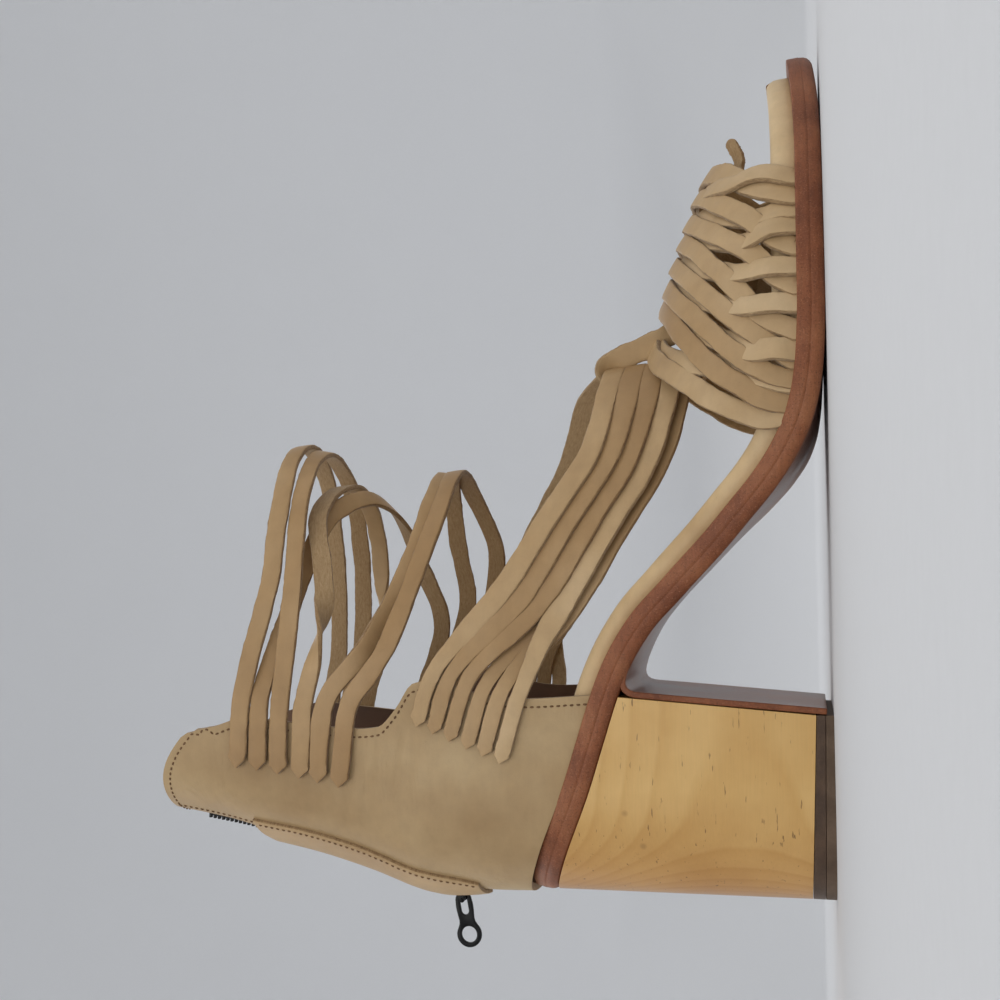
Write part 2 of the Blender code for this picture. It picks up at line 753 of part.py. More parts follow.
def tab_outlines():
    """The tab's edge, the slot round the bar and the hole of the ring, with the hinge at 0, 0."""
    ring_x = RING_R - TAB_LENGTH
    edge = arc(0.0, TAB_HEAD_R, 6, -70.0, 140.0)
    edge += [(-x, half) for x, half in TAB_NECK]
    edge += arc(ring_x, RING_R, 14, 60.0, 240.0)
    edge += [(-x, -half) for x, half in TAB_NECK[::-1]]
    slot = arc(0.0, SLOT_R, 6, -90.0, 180.0) + arc(-SLOT_LENGTH, SLOT_R, 6, 90.0, 180.0)
    return edge, slot, arc(ring_x, RING_HOLE, 14, 0.0, 360.0)


def add_pull(materials, collection):
    """Pull tab: a flat plate in the plane of the shoe's length, hung on the slider's bar."""
    curve = bpy.data.curves.new("zip_pull", "CURVE")
    curve.dimensions = "2D"
    curve.fill_mode = "BOTH"
    curve.extrude = TAB_T / 2 * MM
    for points in tab_outlines():
        spline = curve.splines.new("POLY")
        spline.points.add(len(points) - 1)
        spline.use_cyclic_u = True
        for target, (x, z) in zip(spline.points, points):
            target.co = (x * MM, z * MM, 0.0, 1.0)
    flat = bpy.data.objects.new("tab_outline", curve)
    collection.objects.link(flat)
    bpy.context.view_layer.update()
    mesh = bpy.data.meshes.new_from_object(flat.evaluated_get(bpy.context.evaluated_depsgraph_get()))
    bpy.data.objects.remove(flat, do_unlink=True)
    bm = bmesh.new()
    bm.from_mesh(mesh)
    bmesh.ops.remove_doubles(bm, verts=bm.verts, dist=1e-6)
    bmesh.ops.recalc_face_normals(bm, faces=bm.faces)
    bm.to_mesh(mesh)
    bm.free()
    mesh.name = "zip_pull"
    mesh.materials.clear()
    tab = add_object("zip_pull", mesh, materials["zip"], collection)
    tab.location = (HINGE[0] * MM, 0.0, HINGE[1] * MM)
    tab.rotation_euler = (math.radians(90.0), -math.radians(TAB_DROOP), 0.0)


def add_zip(materials, collection, cutters):
    for side, label in ((-1, "lateral"), (1, "medial")):
        zip_strip(f"zip_tape_{label}", side, TAPE, False, materials["zip"], collection)
        zip_strip(f"zip_teeth_{label}", side, TEETH, False, materials["zip"], collection)
    zip_strip("zip_guard", -1, GUARD, True, materials["leather"], collection)
    add_slider(materials, collection, cutters)
    add_pull(materials, collection)


def main():
    clear_scene()
    collection = bpy.data.collections.new("block_heel_sandal")
    bpy.context.scene.collection.children.link(collection)
    cutters = bpy.data.collections.new("cutters")
    bpy.context.scene.collection.children.link(cutters)
    materials = {
        "leather": make_material("veg_tan_leather", LEATHER, 0.6),
        "edge": make_material("stained_edge", EDGE_BROWN, 0.45),
        "sole": make_material("sole_leather", SOLE_BROWN, 0.35),
        "wood": make_material("pine", PINE, 0.4),
        "lift": make_material("top_lift", LIFT_BROWN, 0.55),
        "zip": make_material("zip_black", ZIP_BLACK, 0.35, 0.6),
    }
    add_sole(materials, collection)
    add_heel(materials, collection)
    add_quarter(materials, collection)
    add_vamp(materials, collection)
    add_instep_straps(materials, collection)
    add_vamp_loop(materials, collection)
    add_ankle_straps(materials, collection)
    add_strap_end(materials, collection)
    add_zip(materials, collection, cutters)


main()
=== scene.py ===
"""Block heel sandal, right shoe: the visible pieces and their finish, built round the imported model.

Sizes are millimetres, turned into metres by MM when a mesh is made. +X toe, +Y medial side, +Z up, floor z = 0.
The tables and functions of the first part repeat the model's own, so that each piece follows its solid.
"""
import math

import bmesh
import bpy
import numpy as np
from mathutils import Matrix, Vector


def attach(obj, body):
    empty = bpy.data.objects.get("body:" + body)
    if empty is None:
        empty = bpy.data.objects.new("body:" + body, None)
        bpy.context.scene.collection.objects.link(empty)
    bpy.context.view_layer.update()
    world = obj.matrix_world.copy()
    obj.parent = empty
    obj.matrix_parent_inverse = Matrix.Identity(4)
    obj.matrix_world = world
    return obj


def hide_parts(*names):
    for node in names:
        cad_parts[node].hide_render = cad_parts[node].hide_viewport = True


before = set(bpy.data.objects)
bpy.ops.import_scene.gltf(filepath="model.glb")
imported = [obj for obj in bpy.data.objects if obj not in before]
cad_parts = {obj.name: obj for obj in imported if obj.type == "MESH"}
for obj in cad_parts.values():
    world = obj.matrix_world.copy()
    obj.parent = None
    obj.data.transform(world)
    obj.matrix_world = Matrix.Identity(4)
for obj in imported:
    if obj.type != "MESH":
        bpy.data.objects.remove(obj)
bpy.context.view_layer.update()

MM = 0.001
GAP = 0.3

# ---- the model's driving sizes ----
HEEL_CURVE_X = -80.6         # where the round back of the heel seat begins
HEEL_BACK_X = -109.1         # rearmost point of the sole
TOE_X = 126.9                # foremost point of the sole
OUTSOLE_T = 3.1
MIDSOLE_T = 3.2
DECK_T = OUTSOLE_T + MIDSOLE_T + 2 * GAP
FOOTBED_INSET = (3.0, 3.8)
HEEL_ROUNDNESS = 2.3
BREAST_X = -54.0
BREAST_LEAN = 3.6
HEEL_INSET = 0.9
HEEL_TAPER = 1.6
HEEL_BACK_LEAN = 1.0
LIFT_FRONT = 4.0
LIFT_BACK = 6.0
COVER_T = 1.6
COVER_HALF = 26.4
COVER_MIDDLE = -0.8
QUARTER_T = 2.0
QUARTER_SEAT = 0.25
CORNER_DROP = 3.0
VAMP_INSET = 0.2
VAMP_SEAT = 0.1
STRAP_HALF = 29.0
SLIT_Z = 103.0
SLIT_LOW = 2.4
SLIT_HIGH = 5.2

# The sole's centre line: x, height of the underside, rise of the medial edge over the lateral one.
PROFILE = (
    # x,     z,    rise
    (-109.1, 73.8, 0.0),
    (-97.0, 68.9, 0.0),
    (-80.0, 62.2, 0.2),
    (-66.0, 57.9, 0.6),
    (-53.0, 54.1, 1.4),
    (-46.0, 51.4, 2.0),
    (-37.0, 46.5, 3.4),
    (-28.0, 39.0, 4.8),
    (-18.0, 29.6, 4.6),
    (-9.0, 21.3, 3.6),
    (-2.0, 14.7, 2.4),
    (6.0, 8.4, 1.0),
    (14.0, 4.0, 0.2),
    (22.0, 1.7, 0.0),
    (32.0, 0.5, 0.0),
    (45.0, 0.0, 0.0),
    (86.0, 0.0, 0.0),
    (104.0, 0.5, 0.0),
    (118.0, 1.4, 0.0),
    (126.9, 2.2, 0.0),
)

# The sole's outline ahead of the heel seat.
OUTLINE = (
    # x,     lateral, medial
    (-80.6, -28.2, 27.0),
    (-62.0, -28.8, 26.8),
    (-48.0, -28.8, 26.2),
    (-33.0, -30.2, 25.8),
    (-18.0, -33.2, 27.2),
    (-3.0, -37.6, 30.0),
    (12.0, -41.4, 33.6),
    (24.0, -43.0, 37.0),
    (37.0, -42.8, 40.6),
    (50.0, -41.0, 42.8),
    (62.0, -38.2, 43.4),
    (76.0, -33.6, 42.0),
    (90.0, -27.0, 39.2),
    (102.0, -19.4, 36.2),
    (111.0, -12.6, 32.8),
    (118.0, -6.2, 29.2),
    (123.0, -0.2, 25.2),
    (125.6, 4.6, 21.2),
    (126.9, 10.0, 16.0),
)

# The heel cup.
CUP = (
    # z,    back,   half, front
    (60.0, -108.6, 27.6, -53.6),
    (80.0, -109.0, 28.4, -54.8),
    (92.0, -109.4, 28.6, -53.4),
    (104.0, -109.4, 28.4, -50.4),
    (109.0, -109.0, 28.2, -51.4),
    (114.0, -107.9, 28.0, -58.4),
    (119.0, -106.3, 27.8, -63.2),
    (125.0, -104.4, 27.8, -63.8),
    (143.0, -100.0, 28.2, -62.6),
    (158.0, -97.2, 29.0, -61.6),
    (168.0, -95.0, 29.6, -64.4),
    (186.0, -92.2, 30.2, -66.0),
)
CUP_TOP_FRONT = 164.0
CUP_TOP_BACK = 184.0
CUP_TOP_SPAN = (-58.0, -88.4)
CUP_ROUND = 28.0
CUP_FLARE = 0.012

# The vamp's edges, front to back.
VAMP = (
    # way, crest, height, lateral, medial
    (0.0, 93.0, 31.8, 82.0, 95.0),
    (0.35, 78.0, 36.8, 59.0, 72.0),
    (0.7, 62.5, 42.0, 33.0, 46.0),
    (1.0, 49.6, 45.0, 13.0, 22.0),
)

# Ankle straps: how far each lies inside the others, apex x, heights of its middle line from end to end.
ANKLE = (
    # inside, apex, end, edge, ahead, side, turn, bend, brow, apex, brow, bend, turn, side, ahead, edge, end
    (0.0, 17.5, 159.2, 158.2, 155.8, 150.2, 150.4, 150.8, 151.8, 152.2,
     152.6, 153.0, 153.2, 153.0, 153.2, 155.6, 157.0),
    (2.6, 1.5, 153.2, 152.8, 150.4, 147.0, 143.5, 140.5, 136.5, 131.5,
     128.5, 125.5, 122.0, 117.0, 119.0, 124.4, 127.0),
    (0.0, 15.5, 147.2, 146.9, 145.2, 143.9, 144.8, 144.8, 145.6, 146.0,
     145.8, 145.2, 144.6, 144.6, 145.4, 149.0, 151.0),
    (0.0, 5.0, 141.0, 140.0, 136.6, 134.8, 137.2, 141.0, 140.0, 137.6,
     137.2, 137.0, 137.2, 138.0, 139.4, 143.0, 145.0),
    (2.0, 8.0, 135.6, 134.4, 125.0, 115.0, 109.8, 107.4, 107.2, 107.6,
     109.0, 111.0, 110.8, 108.6, 113.2, 118.6, 121.0),
    (0.0, 4.0, 129.6, 127.4, 117.4, 110.0, 104.6, 100.2, 99.4, 99.8,
     100.0, 99.0, 96.0, 99.0, 107.6, 112.6, 115.0),
)
ANKLE_END_X = (-75.0, -75.6, -76.4, -77.4, -78.4, -79.4)
ANKLE_EDGE_X = -58.0
ANKLE_PLACES = (
    # name, x, from_apex, half
    ("ahead", -45.0, False, 30.0),
    ("side", 36.0, True, 27.8),
    ("turn", 22.0, True, 24.0),
    ("bend", 10.0, True, 18.5),
    ("brow", 2.5, True, 9.0),
)
# Instep straps: middle line of the uppermost and of the lowest one; y is a share of STRAP_HALF.
INSTEP_TOP = (
    # x, y, z
    (-62.6, -1.0, 107.4),
    (-49.4, -1.0, 103.8),
    (-43.4, -1.0, 99.2),
    (-37.4, -0.98, 94.0),
    (-27.0, -0.94, 84.6),
    (-8.0, -0.86, 73.2),
    (13.0, -0.7, 60.6),
    (29.0, -0.4, 57.8),
    (36.0, 0.0, 57.2),
)
INSTEP_BOTTOM = (
    # x, y, z
    (-71.6, -1.0, 84.6),
    (-52.6, -1.0, 79.0),
    (-47.2, -1.0, 76.0),
    (-41.4, -0.98, 72.0),
    (-30.0, -0.94, 64.6),
    (-10.0, -0.86, 53.0),
    (11.0, -0.7, 42.4),
    (32.0, -0.4, 39.6),
    (38.2, 0.0, 39.0),
)


# ---- the model's surfaces ----
def clamp(value):
    """The value kept between 0 and 1."""
    return min(1.0, max(0.0, value))


def smooth(table, at, column):
    """Smooth reading, without overshoot, of one column of a table whose first column rises."""
    xs = [row[0] for row in table]
    ys = [row[column] for row in table]
    if at <= xs[0]:
        return ys[0]
    if at >= xs[-1]:
        return ys[-1]
    i = max(k for k in range(len(xs) - 1) if xs[k] <= at)
    span = xs[i + 1] - xs[i]
    t = (at - xs[i]) / span

    def slope(k):
        if k == 0 or k == len(xs) - 1:
            low = max(k - 1, 0)
            return (ys[low + 1] - ys[low]) / (xs[low + 1] - xs[low])
        before = (ys[k] - ys[k - 1]) / (xs[k] - xs[k - 1])
        after = (ys[k + 1] - ys[k]) / (xs[k + 1] - xs[k])
        if before * after <= 0:
            return 0.0
        return 2 * before * after / (before + after)

    h00 = 2 * t ** 3 - 3 * t ** 2 + 1
    h10 = t ** 3 - 2 * t ** 2 + t
    h01 = -2 * t ** 3 + 3 * t ** 2
    h11 = t ** 3 - t ** 2
    return h00 * ys[i] + h10 * span * slope(i) + h01 * ys[i + 1] + h11 * span * slope(i + 1)


def edges(x, inset=0.0):
    """The sole's lateral and medial edges at x, pulled in by inset."""
    if x < HEEL_CURVE_X:
        depth = HEEL_CURVE_X - HEEL_BACK_X
        share = min((HEEL_CURVE_X - x) / (depth - inset), 1.0)
        shape = (1.0 - share ** HEEL_ROUNDNESS) ** (1 / HEEL_ROUNDNESS)
        lateral = OUTLINE[0][1] + inset
        medial = OUTLINE[0][2] - inset
        middle = (lateral + medial) / 2 * (1 - share)
        half = (medial - lateral) / 2 * shape
        return middle - half, middle + half
    return smooth(OUTLINE, x, 1) + inset, smooth(OUTLINE, x, 2) - inset


def underside(x, y=0.0):
    """Height of the outsole's lower face."""
    return smooth(PROFILE, x, 1) + smooth(PROFILE, x, 2) * y / 56.0


def lean(x):
    """Slope angle of the sole along its length."""
    return math.atan2(underside(x + 1.5) - underside(x - 1.5), 3.0)


def above(x, y, height):
    """Point that lies height above the outsole's lower face, square to it."""
    angle = lean(x)
    return (x - height * math.sin(angle), y, underside(x, y) + height * math.cos(angle))


def deck(x, y, height):
    """Height over the floor of a face that lies height above the outsole's lower face."""
    return underside(x, y) + height / math.cos(lean(x))


def toe_edges(x, inset):
    """Edges for a layer that also ends inset short of the toe."""
    return edges(x + inset * max(0.0, (x - 60.0) / (TOE_X - inset - 60.0)), inset)


def footbed_height(x):
    """Upper face of the footbed over the outsole's underside."""
    thick = np.interp(x, (-109.0, -40.0, 0.0, 40.0, 127.0), (4.6, 4.4, 4.8, 6.0, 6.2))
    return DECK_T + thick


def lift_top(x):
    return np.interp(x, (HEEL_BACK_X, BREAST_X), (LIFT_BACK, LIFT_FRONT))


def heel_x(x, share):
    """Moves a place of the seat to where it lies at a share of the way down to the floor."""
    front = BREAST_X - BREAST_LEAN * share
    back = HEEL_BACK_X + HEEL_INSET + HEEL_BACK_LEAN * share
    along = (x - HEEL_BACK_X - HEEL_INSET) / (BREAST_X - HEEL_BACK_X - HEEL_INSET)
    return back + along * (front - back)


def cup_point(turn, z):
    """Outer face of the heel cup; turn runs from -2 at the lateral front edge, by -1 to 1 round the back,
    to 2 at the medial front edge."""
    back = smooth(CUP, z, 1)
    half = smooth(CUP, z, 2)
    front = smooth(CUP, z, 3)
    round_x = back + CUP_ROUND
    if abs(turn) <= 1.0:
        angle = turn * math.pi / 2
        power = 2 / HEEL_ROUNDNESS
        x = round_x - CUP_ROUND * math.cos(angle) ** power if abs(turn) < 1.0 else round_x
        y = half * math.copysign(abs(math.sin(angle)) ** power, turn)
        return (x, y, z)
    share = abs(turn) - 1.0
    x = round_x + share * (front - round_x)
    y = half * (1.0 + CUP_FLARE * share)
    return (x, math.copysign(y, turn), z)


def cup_turn_at(y, z):
    """Turn on the cup's round back that lies y from the middle."""
    half = smooth(CUP, z, 2)
    return math.asin((abs(y) / half) ** (HEEL_ROUNDNESS / 2)) * 2 / math.pi * math.copysign(1.0, y)


def slit_half(z):
    """Half the width of the zip's gap."""
    return float(np.interp(z, (SLIT_Z, CUP_TOP_BACK), (SLIT_LOW, SLIT_HIGH)))


def cup_top(x):
    """Height of the cup's top edge."""
    front, back = CUP_TOP_SPAN
    share = max(0.0, min(1.0, (x - front) / (back - front)))
    return CUP_TOP_FRONT + (CUP_TOP_BACK - CUP_TOP_FRONT) * math.sin(share * math.pi / 2) ** 0.9


def cup_side(x, z):
    """Half width of the heel cup's outer face at a place on its side."""
    back = smooth(CUP, z, 1)
    front = smooth(CUP, z, 3)
    share = (x - back - CUP_ROUND) / (front - back - CUP_ROUND)
    return smooth(CUP, z, 2) * (1.0 + CUP_FLARE * max(0.0, min(1.4, share)))


def vamp_value(way, column):
    """One column of the vamp's table, carried on in a straight line behind the vamp's rear edge."""
    if way <= 1.0:
        return smooth(VAMP, way, column)
    slope = (VAMP[-1][column] - VAMP[-2][column]) / (VAMP[-1][0] - VAMP[-2][0])
    return VAMP[-1][column] + slope * (way - 1.0)


def vamp_point(way, angle):
    """Outer face of the vamp; angle runs from 0 at the lateral foot over the crest to pi at the medial foot."""
    crest = vamp_value(way, 1)
    height = vamp_value(way, 2)
    lateral_side = angle <= math.pi / 2
    foot = vamp_value(way, 3 if lateral_side else 4)
    lift = math.sin(angle)
    x = crest + (foot - crest) * max(0.0, 1 - lift) ** (0.9 - 0.34 * min(way, 1.0))
    lateral, medial = edges(x, VAMP_INSET)
    base = deck(x, lateral if lateral_side else medial, DECK_T)
    reach = (medial - lateral) / 2
    y = (lateral + medial) / 2 - reach * math.copysign(abs(math.cos(angle)) ** 0.97, math.cos(angle))
    return np.array((x, y, base + VAMP_SEAT + (height - base) * lift))


# ---- mesh helpers ----
def link(name, mesh):
    thing = bpy.data.objects.new(name, mesh)
    bpy.context.scene.collection.objects.link(thing)
    return thing


def piece(name, bm, materials, slot, *nodes, sharp=40.0, closed=True, body="body"):
    """Object from a bmesh in millimetres, which rides on a body and stands for CAD nodes. materials are names in
    FINISHES. The faces of a closed one are turned outwards."""
    if closed:
        bmesh.ops.recalc_face_normals(bm, faces=bm.faces)
    bmesh.ops.scale(bm, vec=(MM, MM, MM), verts=bm.verts)
    mesh = bpy.data.meshes.new(name)
    bm.to_mesh(mesh)
    bm.free()
    for key in materials:
        mesh.materials.append(FINISHES[key])
    mesh.shade_smooth()
    mesh.set_sharp_from_angle(angle=math.radians(sharp))
    thing = link(name, mesh)
    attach(thing, body)
    if nodes:
        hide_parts(*nodes)
    return thing


def skin(bm, rows, closed=False, kind=lambda r, c: 0):
    """Faces between rows of points. kind gives a face's material by row and column; where it is None the face
    is left out."""
    if closed:
        rows = [[*row, row[0]] for row in rows]
    for r, (first, second) in enumerate(zip(rows, rows[1:])):
        for c in range(len(first) - 1):
            material = kind(r, c)
            if material is not None:
                face = bm.faces.new((first[c], first[c + 1], second[c + 1], second[c]))
                face.material_index = material


def soft_edges(thing, width, segments, sharp):
    """Rounds the edges that are sharper than an angle."""
    soften = thing.modifiers.new("soft_edges", "BEVEL")
    soften.width = width * MM
    soften.segments = segments
    soften.limit_method = "ANGLE"
    soften.angle_limit = math.radians(sharp)
    return soften


def sheet(name, rows, thickness, offset, materials, slot, node, keep=lambda r, c: True, bevel=0.3, tone=1.0):
    """Walled sheet through a grid of points, with rounded cut edges: face, back and rim materials."""
    bm = bmesh.new()
    along = bm.verts.layers.float_vector.new("along")
    shade = bm.verts.layers.float.new("tone")
    grid = [[bm.verts.new(point) for point in row] for row in rows]
    for vert in bm.verts:
        vert[along] = vert.co
        vert[shade] = tone
    skin(bm, grid, kind=lambda r, c: 0 if keep(r, c) else None)
    bmesh.ops.delete(bm, geom=[v for v in bm.verts if not v.link_faces], context="VERTS")
    thing = piece(name, bm, materials, slot, node, sharp=60.0, closed=False)
    wall = thing.modifiers.new("wall", "SOLIDIFY")
    wall.thickness = thickness * MM
    wall.offset = offset
    wall.use_even_offset = True
    wall.material_offset = 1
    wall.material_offset_rim = 2
    if bevel:
        soft_edges(thing, bevel, 2, 55)


# ---- lines ----
def unit(v):
    return v / np.linalg.norm(v, axis=-1, keepdims=True)


def travel(line):
    """Distance from the start at each point of a line."""
    return np.concatenate([[0.0], np.cumsum(np.linalg.norm(np.diff(line, axis=0), axis=1))])


def ahead_of(line):
    return unit(np.gradient(line, axis=0))


def read_at(at, run, values):
    """Columns of values that belong to the distances run, read at other distances."""
    return np.stack([np.interp(at, run, values[:, k]) for k in range(values.shape[1])], axis=1)


def evenly(dense, count):
    """Samples at even distances along a line; the first three columns are its points."""
    run = travel(dense[:, :3])
    return read_at(np.linspace(0, run[-1], count), run, dense)


def through(points, count):
    """Even samples of a smooth curve through the points (tuples of any length)."""
    pts = np.array(points, dtype=float)
    steps = np.concatenate([[0.0], np.cumsum(np.linalg.norm(np.diff(pts[:, :3], axis=0), axis=1) ** 0.5)])
    table = [(s, *p) for s, p in zip(steps, pts)]
    dense = [[smooth(table, s, k + 1) for k in range(pts.shape[1])] for s in np.linspace(0, steps[-1], 400)]
    return evenly(np.array(dense), count)


def softened(line, rounds):
    """The line with its bends eased; both ends stay."""
    line = line.copy()
    for _ in range(rounds):
        line[1:-1] = (line[:-2] + 2 * line[1:-1] + line[2:]) / 4
    return line


def along_table(table, count):
    """Smooth readings of a (share of the length, value) table at even places."""
    return np.array([smooth(table, s, 1) for s in np.linspace(0, 1, count)])


def outward(line, upright=(0.0, 0.0, 1.0)):
    """Direction of a strap's grain side where its width stands as near to upright as its line lets it."""
    ahead = ahead_of(line)
    upright = np.array(upright)
    return np.cross(ahead, unit(upright - ahead * (ahead @ upright)[:, None]))


def twisted(line, out, degrees):
    """The outward directions turned about the strap's own line."""
    turn = np.radians(degrees)[:, None]
    return out * np.cos(turn) + np.cross(ahead_of(line), out) * np.sin(turn)


def fine_ends(line, *others, stretch=5.0, step=0.42):
    """The same strap with close stations near both ends, where it is cut to a point."""
    run = travel(line)
    near = np.arange(0.0, stretch, step)
    at = np.concatenate([near, np.linspace(stretch, run[-1] - stretch, len(line)), run[-1] - near[::-1]])
    return [read_at(at, run, values) for values in (line, *others)]


def pointed(line, half, length, tip=0.04):
    """Half widths that narrow to a point at both ends of a strap."""
    run = travel(line)
    return half * np.clip(tip + (1 - tip) * np.minimum(run, run[-1] - run) / length, 0, 1)


def circle(sides):
    """Angles evenly round a circle."""
    return np.linspace(0, 2 * math.pi, sides, endpoint=False)


# ---- leather bands: a crowned grain side, cut edges and a flesh side ----
GRAIN, EDGE, FLESH = range(3)
# Section of a strap, from the left of the grain side round to the left edge.
SECTION = (
    # share of half width, share of half thickness, kind of the face that follows
    (-0.80, 0.98, GRAIN),
    (-0.40, 1.05, GRAIN),
    (0.00, 1.07, GRAIN),
    (0.40, 1.05, GRAIN),
    (0.80, 0.98, GRAIN),
    (0.94, 0.84, EDGE),
    (1.00, 0.48, EDGE),
    (1.00, -0.55, EDGE),
    (0.95, -0.90, FLESH),
    (0.70, -1.00, FLESH),
    (0.00, -1.02, FLESH),
    (-0.70, -1.00, FLESH),
    (-0.95, -0.90, EDGE),
    (-1.00, -0.55, EDGE),
    (-1.00, 0.48, EDGE),
    (-0.94, 0.84, GRAIN),
)
BAND_T = 1.45
THIN_BAND_T = 1.4            # of the loop and the cut end
BAND_WANDER = 0.10           # share by which the width wanders
BAND_FUZZ = 0.05             # how far the rough edges and flesh side are ruffled


def band(name, node, line, out, half, tone, seed, thick=BAND_T):
    """Strap along a line of points; out is the direction of its grain side, half its half width at each point."""
    ahead = ahead_of(line)
    out = unit(out - ahead * np.sum(out * ahead, axis=1)[:, None])
    across = np.cross(ahead, out)
    rng = np.random.default_rng(seed)
    wander = softened(rng.normal(0, 1, (len(line), 3)), 6)
    run = travel(line)
    bm = bmesh.new()
    along = bm.verts.layers.float_vector.new("along")
    shade = bm.verts.layers.float.new("tone")
    rings = []
    for i, middle in enumerate(line):
        ring = []
        for u, w, _ in SECTION:
            grow = 1.0 + BAND_WANDER * wander[i, 0 if u > 0 else 1]
            fuzz = rng.normal(0, BAND_FUZZ) if w < 0.9 else 0.0
            vert = bm.verts.new(middle + across[i] * u * (half[i] * grow) + out[i] * w * thick / 2
                                + (across[i] * np.sign(u) * fuzz + out[i] * fuzz * 0.6))
            vert[along] = (run[i], u * half[i], w)
            vert[shade] = tone
            ring.append(vert)
        rings.append(ring)
    skin(bm, rings, closed=True, kind=lambda r, c: SECTION[c][2])
    for ring in (rings[0][::-1], rings[-1]):
        bm.faces.new(ring).material_index = EDGE
    piece(name, bm, ("strap", "cut", "flesh"), "strap_leather", node, sharp=48.0)


# ---- materials ----
def rgba(colour):
    """Linear colour from a grey or from 0..255 values."""
    if not isinstance(colour, tuple):
        return (colour, colour, colour, 1.0)
    shares = [c / 255.0 for c in colour]
    return (*(s / 12.92 if s <= 0.04045 else ((s + 0.055) / 1.055) ** 2.4 for s in shares), 1.0)


class Finish:
    """A node material in the making; its patterns are measured in millimetres on the object."""

    def __init__(self, name, roughness, specular=0.4, coat=0.0, sheen=0.0):
        self.material = bpy.data.materials.new(name)
        self.material.use_nodes = True
        self.material.diffuse_color = rgba(0.5)
        self.tree = self.material.node_tree
        self.shader = self.tree.nodes["Principled BSDF"]
        for socket, value in (("Roughness", roughness), ("Specular IOR Level", specular), ("Coat Weight", coat),
                              ("Coat Roughness", 0.18), ("Sheen Weight", sheen), ("Sheen Roughness", 0.5)):
            self.shader.inputs[socket].default_value = value
        where = self.add("ShaderNodeTexCoord").outputs["Object"]
        self.place = self.add("ShaderNodeVectorMath", {0: where, "Scale": 1 / MM}, operation="SCALE").outputs[0]
        self.relief = None

    def add(self, kind, inputs=None, **settings):
        node = self.tree.nodes.new(kind)
        for key, value in settings.items():
            setattr(node, key, value)
        for key, value in (inputs or {}).items():
            if isinstance(value, bpy.types.NodeSocket):
                self.tree.links.new(value, node.inputs[key])
            else:
                node.inputs[key].default_value = value
        return node

    def attribute(self, name, output="Vector"):
        return self.add("ShaderNodeAttribute", attribute_name=name).outputs[output]

    def axis(self, letter):
        """One coordinate of the place."""
        return self.add("ShaderNodeSeparateXYZ", {0: self.place}).outputs[letter]

    def stretched(self, scale, vector=None, turn=(0, 0, 0)):
        """Coordinates squeezed along some axes, so that a pattern on them is drawn out."""
        return self.add("ShaderNodeMapping", {"Vector": vector or self.place, "Scale": scale,
                                              "Rotation": [math.radians(t) for t in turn]}).outputs[0]

    def noise(self, size, detail=4.0, roughness=0.55, distortion=0.0, vector=None):
        """Noise whose blotches are about size millimetres wide."""
        return self.add("ShaderNodeTexNoise", {"Vector": vector or self.place, "Scale": 1.0 / size, "Detail": detail,
                                               "Roughness": roughness, "Distortion": distortion}).outputs[0]

    def cells(self, size):
        return self.add("ShaderNodeTexVoronoi", {"Vector": self.place, "Scale": 1.0 / size}).outputs["Distance"]

    def ramp(self, value, *stops):
        """Colour or grey by value; stops are (place, colour or grey)."""
        node = self.add("ShaderNodeValToRGB", {"Fac": value})
        elements = node.color_ramp.elements
        while len(elements) < len(stops):
            elements.new(0.5)
        for element, (at, colour) in zip(elements, stops):
            element.position = at
            element.color = rgba(colour)
        return node.outputs["Color"]

    def span(self, value, low, high, to=(0.0, 1.0)):
        """The value's stretch from low to high laid over another one."""
        return self.add("ShaderNodeMapRange", {"Value": value, "From Min": low, "From Max": high,
                                               "To Min": to[0], "To Max": to[1]}).outputs[0]

    def math(self, kind, first, second=0.0):
        return self.add("ShaderNodeMath", {0: first, 1: second}, operation=kind).outputs[0]

    def mask(self, share, value, *stops):
        """A share of a grey ramp."""
        return self.math("MULTIPLY", self.ramp(value, *stops), share)

    def mix(self, share, first, second, kind="MIX"):
        first, second = (c if isinstance(c, bpy.types.NodeSocket) else rgba(c) for c in (first, second))
        return self.add("ShaderNodeMix", {0: share, 6: first, 7: second}, data_type="RGBA", blend_type=kind,
                        clamp_result=True).outputs[2]

    def colour(self, value):
        self.tint = value
        self.tree.links.new(value, self.shader.inputs["Base Color"])

    def stain(self, share, colour, kind="MIX"):
        """Mixes a share of another colour into the colour so far."""
        self.colour(self.mix(share, self.tint, colour, kind))

    def shade(self, share, value, *stops):
        """Darkens a share of the colour so far by a ramp."""
        self.stain(share, self.ramp(value, *stops), "MULTIPLY")

    def warm_tone(self):
        """Shades a strap by its own tone: the darker ones are also redder."""
        tone = self.attribute("tone", "Fac")
        self.stain(1.0, self.add("ShaderNodeCombineColor", {
            "Red": tone, "Green": self.math("POWER", tone, 1.35), "Blue": self.math("POWER", tone, 1.8)}).outputs[0],
            "MULTIPLY")

    def roughness(self, value, low, high):
        self.tree.links.new(self.span(value, 0.0, 1.0, (low, high)), self.shader.inputs["Roughness"])

    def bump(self, height, depth):
        """Adds relief, depth millimetres high, on what is there already."""
        inputs = {"Height": height, "Distance": depth * MM, "Strength": 1.0}
        if self.relief is not None:
            inputs["Normal"] = self.relief
        self.relief = self.add("ShaderNodeBump", inputs).outputs[0]
        self.tree.links.new(self.relief, self.shader.inputs["Normal"])


